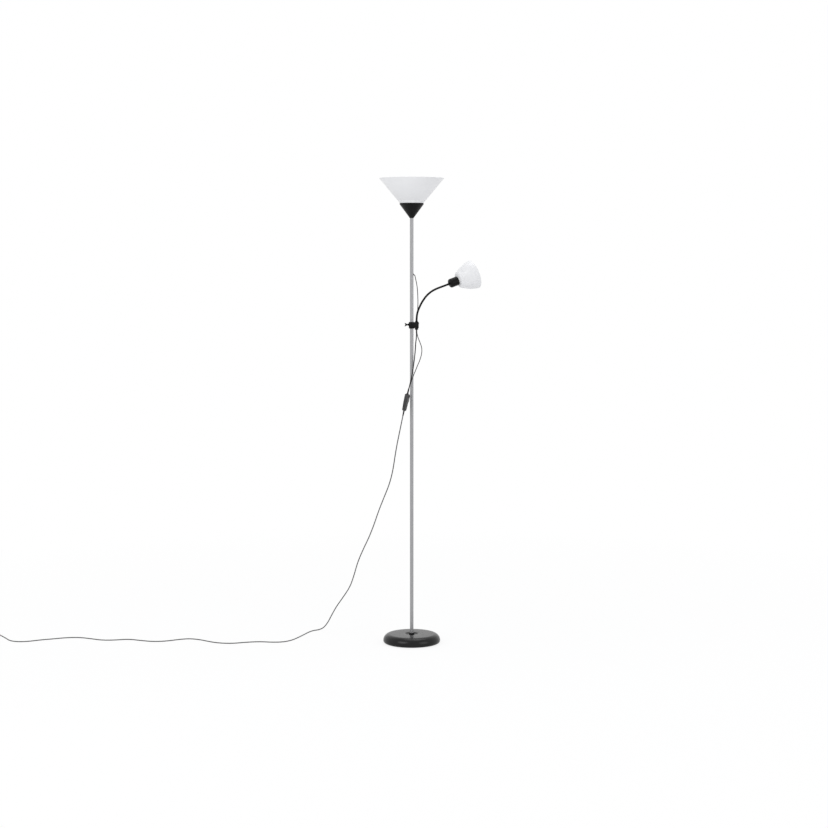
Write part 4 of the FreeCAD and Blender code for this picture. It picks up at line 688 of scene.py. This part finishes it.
def neck_section(name, first, last):
    bm = bmesh.new()
    previous = None
    for i in range(first, last + 1):
        heading = ring_spots[min(i + 1, len(ring_spots) - 1)] - ring_spots[max(i - 1, 0)]
        side = heading.cross(ARM.to_3x3() @ Vector((0, 1, 0))).normalized()
        turn = Matrix((side, heading.normalized().cross(side), heading.normalized())).transposed().to_4x4()
        ring = bmesh.ops.create_circle(bm, cap_ends=i in (first, last), segments=24,
                                       radius=RING_RADII[i % PER_WINDING],
                                       matrix=Matrix.Translation(ring_spots[i]) @ turn)["verts"]
        edges = [e for e in bm.edges if e.verts[0] in ring and e.verts[1] in ring]
        if previous:
            bmesh.ops.bridge_loops(bm, edges=previous + edges)
        previous = edges
    bmesh.ops.recalc_face_normals(bm, faces=bm.faces)
    return to_object(bm, name, sharp=60)


print("rings:", len(ring_spots), "cut at", cuts)

# %% [markdown]
# Nine sections, one across each ball, each running from the middle of the link before its ball to the middle
# of the link after it.

# %% Skin of the gooseneck
LINKS = len(BALLS) - 1
for k, ball in enumerate(BALLS):
    section = neck_section(f"gooseneck_{k + 1}", cuts[k], cuts[k + 1])
    nodes = [f"neck_link_{k + 1}"] if k < LINKS else []
    dress(section, NECK_COAT, None, "neck_steel", *nodes)
    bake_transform(section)
print("sections:", len(BALLS), "rings in each:", [b - a for a, b in zip(cuts, cuts[1:])])

# %% [markdown]
# The neck's lower ferrule is screwed through the clamp block with a nut below it, and a soft sleeve guides
# the flex out of its hollow stem.

# %% Ferrule, nut, sleeve and grub screw
STEM = ARM @ Matrix.Translation((STEM_REACH * MM, 0, 0))
ferrule = lathe("lower_ferrule", [
    (2.75, -18), (4, -18), (4, 11.5), (5.5, 11.5), (5.5, 14.5), (4.1, 16.6), (2.75, 16.6)], STEM, steps=48,
    edge=0.25)
dress(ferrule, BLACK_METAL, "arm_clamp", "black_ferrule", "neck_ferrule_lower")
NUT_FLATS = 12
corner = NUT_FLATS / math.sqrt(3)
hexagon = []
for i in range(6):
    angle = math.radians(60 * i)
    hexagon.append((corner * math.cos(angle), corner * math.sin(angle)))
nut = flat_piece("stem_nut", hexagon, 6.5, STEM @ Matrix.Translation((0, 0, -14.75 * MM)))
dress(nut, BLACK_METAL, "arm_clamp", "black_ferrule", "neck_nut")
sleeve = lathe("flex_guide", [
    (2.05, -32), (2.4, -32), (2.7, -31, 1.2), (2.7, -18), (2.05, -18)], STEM, steps=32)
dress(sleeve, RUBBER, "arm_clamp", "black_rubber", "flex_sleeve")
grub = lathe("clamp_grub_screw", [
    (0, 4.2), (2, 4.2), (2, 9.5), (1.8, 9.7), (1, 9.7), (1, 8.2), (0, 8.2)],
    STEM @ Matrix.Translation((0, 0, 6 * MM)) @ turn_about("Y", 90), steps=32)
dress(grub, BLACK_METAL, "arm_clamp", "zinc_steel", "neck_grub_screw")

# %% [markdown]
# ## Reading light
# The black can with its rounded back hides the lampholder's neck. The bell has a short round shoulder and
# then opens in one long, slightly bulging curve. Its ring, lampholder and globe lamp are seen from the front.

# %% Can, bell, ring, holder and lamp
upper_ferrule = lathe("upper_ferrule", [
    (1.1, 6), (4.1, 6), (5.5, 8), (5.5, 11), (4, 11), (4, 17), (1.1, 17)], HEAD, steps=48, edge=0.25)
dress(upper_ferrule, BLACK_METAL, "head", "black_ferrule", "neck_ferrule_upper")
can = lathe("reading_light_can", [
    (4.05, 11), (10.25, 11), (17.25, 18, 7), (17.25, 46.7), (16.95, 47), (15.65, 47), (15.65, 18),
    (10.25, 12.6, -5.4), (4.05, 12.6)], HEAD, steps=96)
dress(can, BLACK_METAL, "head", "black_can", "reading_can")
bell = lathe("reading_light_bell", [
    (13.55, 49), (22, 49), (34.5, 60, 12.602), (56, 119.4, 140), (54.5, 119.4, 0.75), (33, 60, -138.5),
    (22, 50.5, -11.102), (13.55, 50.5)], HEAD, steps=144, arc_step=0.06)
dress(bell, BELL_WHITE, "head", "white_bell", "reading_shade")
bell_ring = lathe("bell_fixing_ring", [
    (13.55, 50.5), (18, 50.5), (18, 52), (15.5, 52), (15.5, 55.5), (13.55, 55.5)], HEAD, steps=64, edge=0.25)
dress(bell_ring, HOLDER_WHITE, "head", "white_holder", "reading_ring")
bell_holder = lathe("reading_lampholder", [
    (4.05, 12.9), (9, 12.9), (13.5, 21), (13.5, 47), (17.25, 47), (17.25, 49), (13.5, 49), (13.5, 56.5),
    (7.5, 56.5), (7.5, 23), (1.1, 23), (1.1, 17), (4.05, 17)], HEAD, steps=64, edge=0.25)
dress(bell_holder, HOLDER_WHITE, "head", "white_holder", "reading_holder")
globe = lathe("reading_lamp", [
    (6.4, 53.5), (6.9, 57.5), (8.8, 61.5), (13.2, 68.4), (22, 86, 22), (0, 108, 22), (0, 107), (21, 86, -21),
    (12.6, 69.2, -21), (7.8, 61.5), (5.9, 57.5), (5.4, 53.5)], HEAD, steps=80)
dress(globe, LAMP_GLASS, "head", "frosted_glass", "reading_bulb")

# %% [markdown]
# ## Inline switch
# Two shells meet along the middle of the cord. The front one carries a raised bezel with a well for each
# rocker. The outline is drawn once, in the XY plane, and laid into the lamp's frame at the end. These helpers
# lift a face out of the shell or sink it in, and round the edges that lie at one height.

# %% Helpers for the switch
SWITCH_OUTLINE = [(10, 0), (9.5, 32), (-9.5, 32), (-10, 0), (-6.5, -32), (6.5, -32)]
LAID = Matrix(((0, 0, 1, 0), (1, 0, 0, 0), (0, 1, 0, 0), (0, 0, 0, 1)))


def switch_face():
    bm = bmesh.new()
    spots = [bm.verts.new((x * MM, y * MM, 0)) for x, y in SWITCH_OUTLINE]
    bm.faces.new(spots)
    corners = [spots[i] for i in (1, 2, 4, 5)]
    bmesh.ops.bevel(bm, geom=corners, offset=3 * MM, affect="VERTICES", segments=6, profile=0.5, material=-1)
    return bm


def lift(bm, faces, height):
    """Extrude these faces along Z and leave none of them behind."""
    made = extrude(bm, faces, (0, 0, height))
    bmesh.ops.delete(bm, geom=[f for f in faces if f.is_valid and f not in made], context="FACES_ONLY")


def faces_between(bm, height, left, right, low, high):
    found = []
    for f in bm.faces:
        spot = f.calc_center_median() / MM
        level = abs(spot.z - height) < 0.01 and abs(f.normal.z) > 0.9
        if level and left < spot.x < right and low < spot.y < high:
            found.append(f)
    return found


def bevel_level(bm, height, offset, segments=5):
    """Round the sharp edges that lie at one height."""
    bm.normal_update()
    rim = []
    for e in bm.edges:
        level = all(abs(v.co.z - height * MM) < 0.00001 for v in e.verts)
        if level and len(e.link_faces) == 2 and e.calc_face_angle() > math.radians(50):
            rim.append(e)
    bmesh.ops.bevel(bm, geom=rim, offset=offset * MM, affect="EDGES", segments=segments, profile=0.5,
                    material=-1, clamp_overlap=True)


print("switch:", len(SWITCH_OUTLINE), "corners in its outline")

# %% [markdown]
# The rear shell is the outline, extruded backwards and rounded at its back. The front shell's face is cut
# with `bisect_plane` along the edges of bezel and wells before it is extruded, so that the bezel can be
# lifted out and the wells sunk in. From here on, `on_lead` collects all that sits on the mains lead.

# %% Switch shells
SHELL_DEPTH = 6.25
BEZEL_RISE = 2
BEZEL_HEIGHT = SHELL_DEPTH + BEZEL_RISE
BEZEL_SIDE, BEZEL_LOW, BEZEL_HIGH = 9.4, 1.5, 29.5
WELL_INNER, WELL_OUTER, WELL_LOW, WELL_HIGH = 0.8, 8, 3.7, 27.3
rear = switch_face()
extrude(rear, rear.faces[:], (0, 0, -SHELL_DEPTH))
bmesh.ops.recalc_face_normals(rear, faces=rear.faces)
bevel_level(rear, -SHELL_DEPTH, 2)
bevel_level(rear, 0, 0.2, 2)
rear_shell = to_object(rear, "switch_rear_shell", SWITCH @ LAID)
dress(rear_shell, SWITCH_PLASTIC, "stand", "black_switch", "switch_base")

front = switch_face()
slits = [(Vector((x, 0, 0)), Vector((1, 0, 0)))
         for x in (-BEZEL_SIDE, -WELL_OUTER, -WELL_INNER, WELL_INNER, WELL_OUTER, BEZEL_SIDE)]
slits += [(Vector((0, y, 0)), Vector((0, 1, 0))) for y in (BEZEL_LOW, WELL_LOW, WELL_HIGH, BEZEL_HIGH)]
for spot, across in slits:
    bmesh.ops.bisect_plane(front, geom=front.verts[:] + front.edges[:] + front.faces[:], plane_co=spot * MM,
                           plane_no=across)
extrude(front, front.faces[:], (0, 0, SHELL_DEPTH))
bmesh.ops.recalc_face_normals(front, faces=front.faces)
lift(front, faces_between(front, SHELL_DEPTH, -BEZEL_SIDE, BEZEL_SIDE, BEZEL_LOW, BEZEL_HIGH), BEZEL_RISE)
for left, right in ((-WELL_OUTER, -WELL_INNER), (WELL_INNER, WELL_OUTER)):
    lift(front, faces_between(front, BEZEL_HEIGHT, left, right, WELL_LOW, WELL_HIGH), -SHELL_DEPTH)
bmesh.ops.recalc_face_normals(front, faces=front.faces)
bmesh.ops.dissolve_limit(front, angle_limit=math.radians(0.5), verts=front.verts, edges=front.edges)
bevel_level(front, BEZEL_HEIGHT, 0.6, 4)
bevel_level(front, SHELL_DEPTH, 0.4, 4)
bevel_level(front, 0, 0.2, 2)
front_shell = to_object(front, "switch_front_shell", SWITCH @ LAID)
dress(front_shell, SWITCH_PLASTIC, "stand", "black_switch", "switch_cover")
on_lead = [rear_shell, front_shell, "switch_screws", "lead_tie"]
print("switch faces:", len(rear_shell.data.polygons), len(front_shell.data.polygons))

# %% [markdown]
# The rockers are glossier than the shells. Each has a shallow valley across its middle, where a thumb finds
# it, and stands a little proud at its raised end.

# %% Rockers
ROCKER_THICKNESS = 6.6
ROCKER = [(1.9, 0), (3, 11.1), (0, 11.5), (-1.5, 8.5), (-3.2, 0), (-1.5, -8.5), (0, -11.5), (3, -11.1)]
for label, side, tilt in (("uplight", -1, -8), ("reading", 1, 8)):
    pivot = Vector((SHELL_DEPTH, side * (WELL_INNER + WELL_OUTER) / 2, (WELL_LOW + WELL_HIGH) / 2)) * MM
    where = SWITCH @ Matrix.Translation(pivot) @ turn_about("Y", tilt) @ turn_about("X", 90)
    rocker = flat_piece(label + "_rocker_cap", ROCKER, ROCKER_THICKNESS, where, edge=0.55, corner_angle=10)
    dress(rocker, BLACK_GLOSS, label + "_rocker", "black_rocker", "rocker_" + label)
    on_lead.append(rocker)
    print(label, "rocker tilted by", tilt, "degrees")

# %% [markdown]
# Where a cord leaves a housing it is held by a soft tapered piece with rings cut into it, so that it bends
# in a gentle curve. The same outline serves the switch and the plug.

# %% Reliefs
RELIEF_BORE = 2.05
RELIEF_END = 2.85
GROOVE_DEPTH = 0.55


def ribbed_taper(wide, start, end, rings=6):
    """Corners of a tapered relief from start to end, with a groove between its rings."""
    corners = [(RELIEF_BORE, start), (wide, start)]
    step = (end - start) / rings
    for i in range(rings):
        radius = wide + (RELIEF_END - wide) * i / (rings - 1)
        low = start + step * i
        corners += [(radius, low + step * 0.35), (radius - GROOVE_DEPTH, low + step * 0.5),
                    (radius - GROOVE_DEPTH, low + step * 0.8)]
    return corners + [(RELIEF_END, end - step * 0.1), (RELIEF_END - 0.2, end), (RELIEF_BORE, end)]


lead_relief = lathe("lead_relief_taper", [
    (RELIEF_BORE, -27), (2.7, -27), (2.7, -32)] + ribbed_taper(3.5, -32, -52)[1:], SWITCH, steps=48)
dress(lead_relief, RUBBER, "stand", "black_rubber", "lead_relief")
flex_relief = flat_piece("flex_relief_block", [
    (3, -6), (3, 6), (2, 7), (-2, 7), (-3, 6), (-3, -6), (-2, -7), (2, -7)], 2.4,
    SWITCH @ Matrix.Translation((0, 0, 33.2 * MM)))
dress(flex_relief, RUBBER, "stand", "black_rubber", "flex_relief")
on_lead += [lead_relief, flex_relief]
print("pieces on the mains lead so far:", len(on_lead))

# %% [markdown]
# ## Plug
# The moulded plug is an outline with well-rounded edges. Its body is flat enough to lie on the floor beside
# the coil. Its two pins are sleeved in black near the plug and bare nickel at their ends.

# %% Plug
PIN_REACH = 9.3
PLUG = Matrix.Translation((WEST, COIL.y - 0.042, PLUG_HEIGHT)) @ turn_about("X", 90)
hull = flat_piece("plug_hull", [
    (-6, 20), (6, 20), (9, 25), (17.5, 38), (17.5, 53), (-17.5, 53), (-17.5, 38), (-9, 25)], 13.6,
    PLUG @ turn_about("X", 90), edge=2.4, corners=1.6)
dress(hull, BLACK_PLASTIC, "stand", "black_plug", "plug_body")
plug_relief = lathe("plug_relief_taper", ribbed_taper(4.9, 20.5, 0, rings=7), PLUG, steps=48)
dress(plug_relief, RUBBER, "stand", "black_plug")
on_lead += [hull, plug_relief]
for name, radius, low, high, edge, material, slot_name, nodes in (
        ("plug_contact_pins", 2, 63, 72, 0.6, NICKEL, "nickel_pins", ["plug_pins"]),
        ("plug_pin_sleeves", 1.75, 47.5, 63, 0, BLACK_PLASTIC, "black_plug", [])):
    pins = bmesh.new()
    for side in (-1, 1):
        foot = Matrix.Translation(Vector((side * PIN_REACH, 0, low)) * MM)
        round_disc(pins, radius, high - low, foot, steps=36)
    bmesh.ops.recalc_face_normals(pins, faces=pins.faces)
    soften(pins, edge)
    on_lead.append(dress(to_object(pins, name, PLUG), material, "stand", slot_name, *nodes))

# %% [markdown]
# Now that everything on the mains lead is there, the pieces on it are counted.

# %% Mains lead with its pieces
print("pieces on the mains lead:", len(on_lead))

# %% [markdown]
# ## Pieces kept from the construction model
# Nuts, screws, couplers, the ballast, the lamps' caps and the other pieces that lie inside keep their own
# shapes and only get their finishes, and so does the tie round the coil.

# %% Finishes of the kept nodes
KEPT = {
    "base_weight": CONCRETE, "foot_spigot": ZINC, "base_nut": ZINC, "pole_couplers": ZINC,
    "pole_top_bush": ZINC, "uplight_nipple": ZINC, "nipple_nut": ZINC, "uplight_contact_shell": BRASS,
    "uplight_bulb_cap": NICKEL, "switch_screws": ZINC, "lead_tie": RUBBER, "screw_shoe": ZINC,
    "reading_bulb_cap": NICKEL,
}
for node, material in KEPT.items():
    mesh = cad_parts[node].data
    mesh.materials.clear()
    mesh.materials.append(material)
bare = [node for node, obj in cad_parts.items() if node not in KEPT and not obj.hide_render]
print("pieces made:", len(dressed), "kept nodes:", len(KEPT), "nodes without a finish:", bare)

# %% [markdown]
# ## Room and light
# A pale floor and a white room. The camera, and anything shiny, sees a plain white surrounding, while the
# light that falls on the lamp stays at a level where a colour renders as it is written. Light Path tells the
# two apart: its outputs are one for a ray from the camera, or off a glossy or clear surface.

# %% A helper for what is only seen
PLAIN_WHITE_FOR = ("Is Camera Ray", "Is Glossy Ray", "Is Transmission Ray")


def seen_share(nodes, links, share=None):
    """A socket that is the share for camera, glossy and transmission rays and nothing for all others."""
    path = nodes.new("ShaderNodeLightPath")
    total = path.outputs[PLAIN_WHITE_FOR[0]]
    for kind in PLAIN_WHITE_FOR[1:]:
        either = nodes.new("ShaderNodeMath")
        either.operation = "MAXIMUM"
        links.new(total, either.inputs[0])
        links.new(path.outputs[kind], either.inputs[1])
        total = either.outputs["Value"]
    part = nodes.new("ShaderNodeMath")
    part.operation = "MULTIPLY"
    part.inputs[1].default_value = 1.0
    links.new(total, part.inputs[0])
    if share:
        links.new(share, part.inputs[1])
    return part.outputs["Value"]


print("plain white for:", PLAIN_WHITE_FOR)

# %% [markdown]
# The floor is lit by the same soft light as the lamp and keeps its shadow. It grows whiter with its distance
# from the lamp, so that no line shows where it meets the room. It lies a hair below the pads, because two
# surfaces in one plane would flicker.

# %% Floor
FLOOR_HALF = 40
FLOOR_DROP = 0.0002
WHITER_FROM, WHITEST_FROM = 0.6, 3.0
FLOOR_WHITE_NEAR, FLOOR_WHITE_FAR = 0.86, 1.0
floor_mesh = bmesh.new()
bmesh.ops.create_grid(floor_mesh, x_segments=1, y_segments=1, size=FLOOR_HALF)
floor = to_object(floor_mesh, "floor")
floor.location.z = -FLOOR_DROP
paper = finish("floor_paint", grey(0.90), grey(0.93), 0.75, patch=0.6, grain=300, bump=0.02,
               Specular_IOR_Level=0.1)
nodes, links = paper.node_tree.nodes, paper.node_tree.links
white = nodes.new("ShaderNodeEmission")
part_white = nodes.new("ShaderNodeMixShader")
place = nodes.new("ShaderNodeTexCoord")
reach = nodes.new("ShaderNodeVectorMath")
reach.operation = "LENGTH"
links.new(place.outputs["Object"], reach.inputs[0])
whiter = nodes.new("ShaderNodeMapRange")
whiter.inputs["From Min"].default_value = WHITER_FROM
whiter.inputs["From Max"].default_value = WHITEST_FROM
whiter.inputs["To Min"].default_value = FLOOR_WHITE_NEAR
whiter.inputs["To Max"].default_value = FLOOR_WHITE_FAR
links.new(reach.outputs["Value"], whiter.inputs["Value"])
links.new(seen_share(nodes, links, whiter.outputs["Result"]), part_white.inputs["Fac"])
links.new(nodes["Principled BSDF"].outputs["BSDF"], part_white.inputs[1])
links.new(white.outputs["Emission"], part_white.inputs[2])
links.new(part_white.outputs["Shader"], nodes["Material Output"].inputs["Surface"])
floor.data.materials.append(paper)
print("floor:", 2 * FLOOR_HALF, "m wide")

# %% [markdown]
# The room is one world with two backgrounds. The one that is seen is plain white. The one that lights the
# lamp is weaker and slightly cool, as daylight through a large diffuser is.

# %% World
ROOM_LIGHT = 0.62
world = bpy.data.worlds.new("white_room")
scene.world = world
world.use_nodes = True
nodes, links = world.node_tree.nodes, world.node_tree.links
lit = nodes["Background"]
lit.inputs["Color"].default_value = (0.96, 0.97, 1.0, 1)
lit.inputs["Strength"].default_value = ROOM_LIGHT
seen = nodes.new("ShaderNodeBackground")
seen.inputs["Color"].default_value = (1, 1, 1, 1)
seen.inputs["Strength"].default_value = 1.0
mix = nodes.new("ShaderNodeMixShader")
links.new(seen_share(nodes, links), mix.inputs["Fac"])
links.new(lit.outputs["Background"], mix.inputs[1])
links.new(seen.outputs["Background"], mix.inputs[2])
links.new(mix.outputs["Shader"], nodes["World Output"].inputs["Surface"])
print("room light:", ROOM_LIGHT)

# %% [markdown]
# Three large soft lamps stand round the object: the key to the left of the camera, a weaker fill to its right
# and one overhead, for the tops of the base and the shades. All look at a point a metre up the pole.

# %% Lamps
LAMP_SIZE = 3.0
AIM = Vector((0, 0, 1.0))
for name, spot, power in (("key", (-3.2, -3.6, 3.4), 95), ("fill", (3.8, -3.0, 2.2), 45),
                          ("top", (0.5, 0.8, 4.6), 60)):
    light = bpy.data.lights.new(name, "AREA")
    light.size = LAMP_SIZE
    light.energy = power
    lamp = bpy.data.objects.new(name, light)
    lamp.location = spot
    lamp.rotation_euler = (AIM - Vector(spot)).to_track_quat("-Z", "Y").to_euler()
    scene.collection.objects.link(lamp)
    print(name, "lamp:", power, "W")
scene.view_settings.view_transform = "Standard"
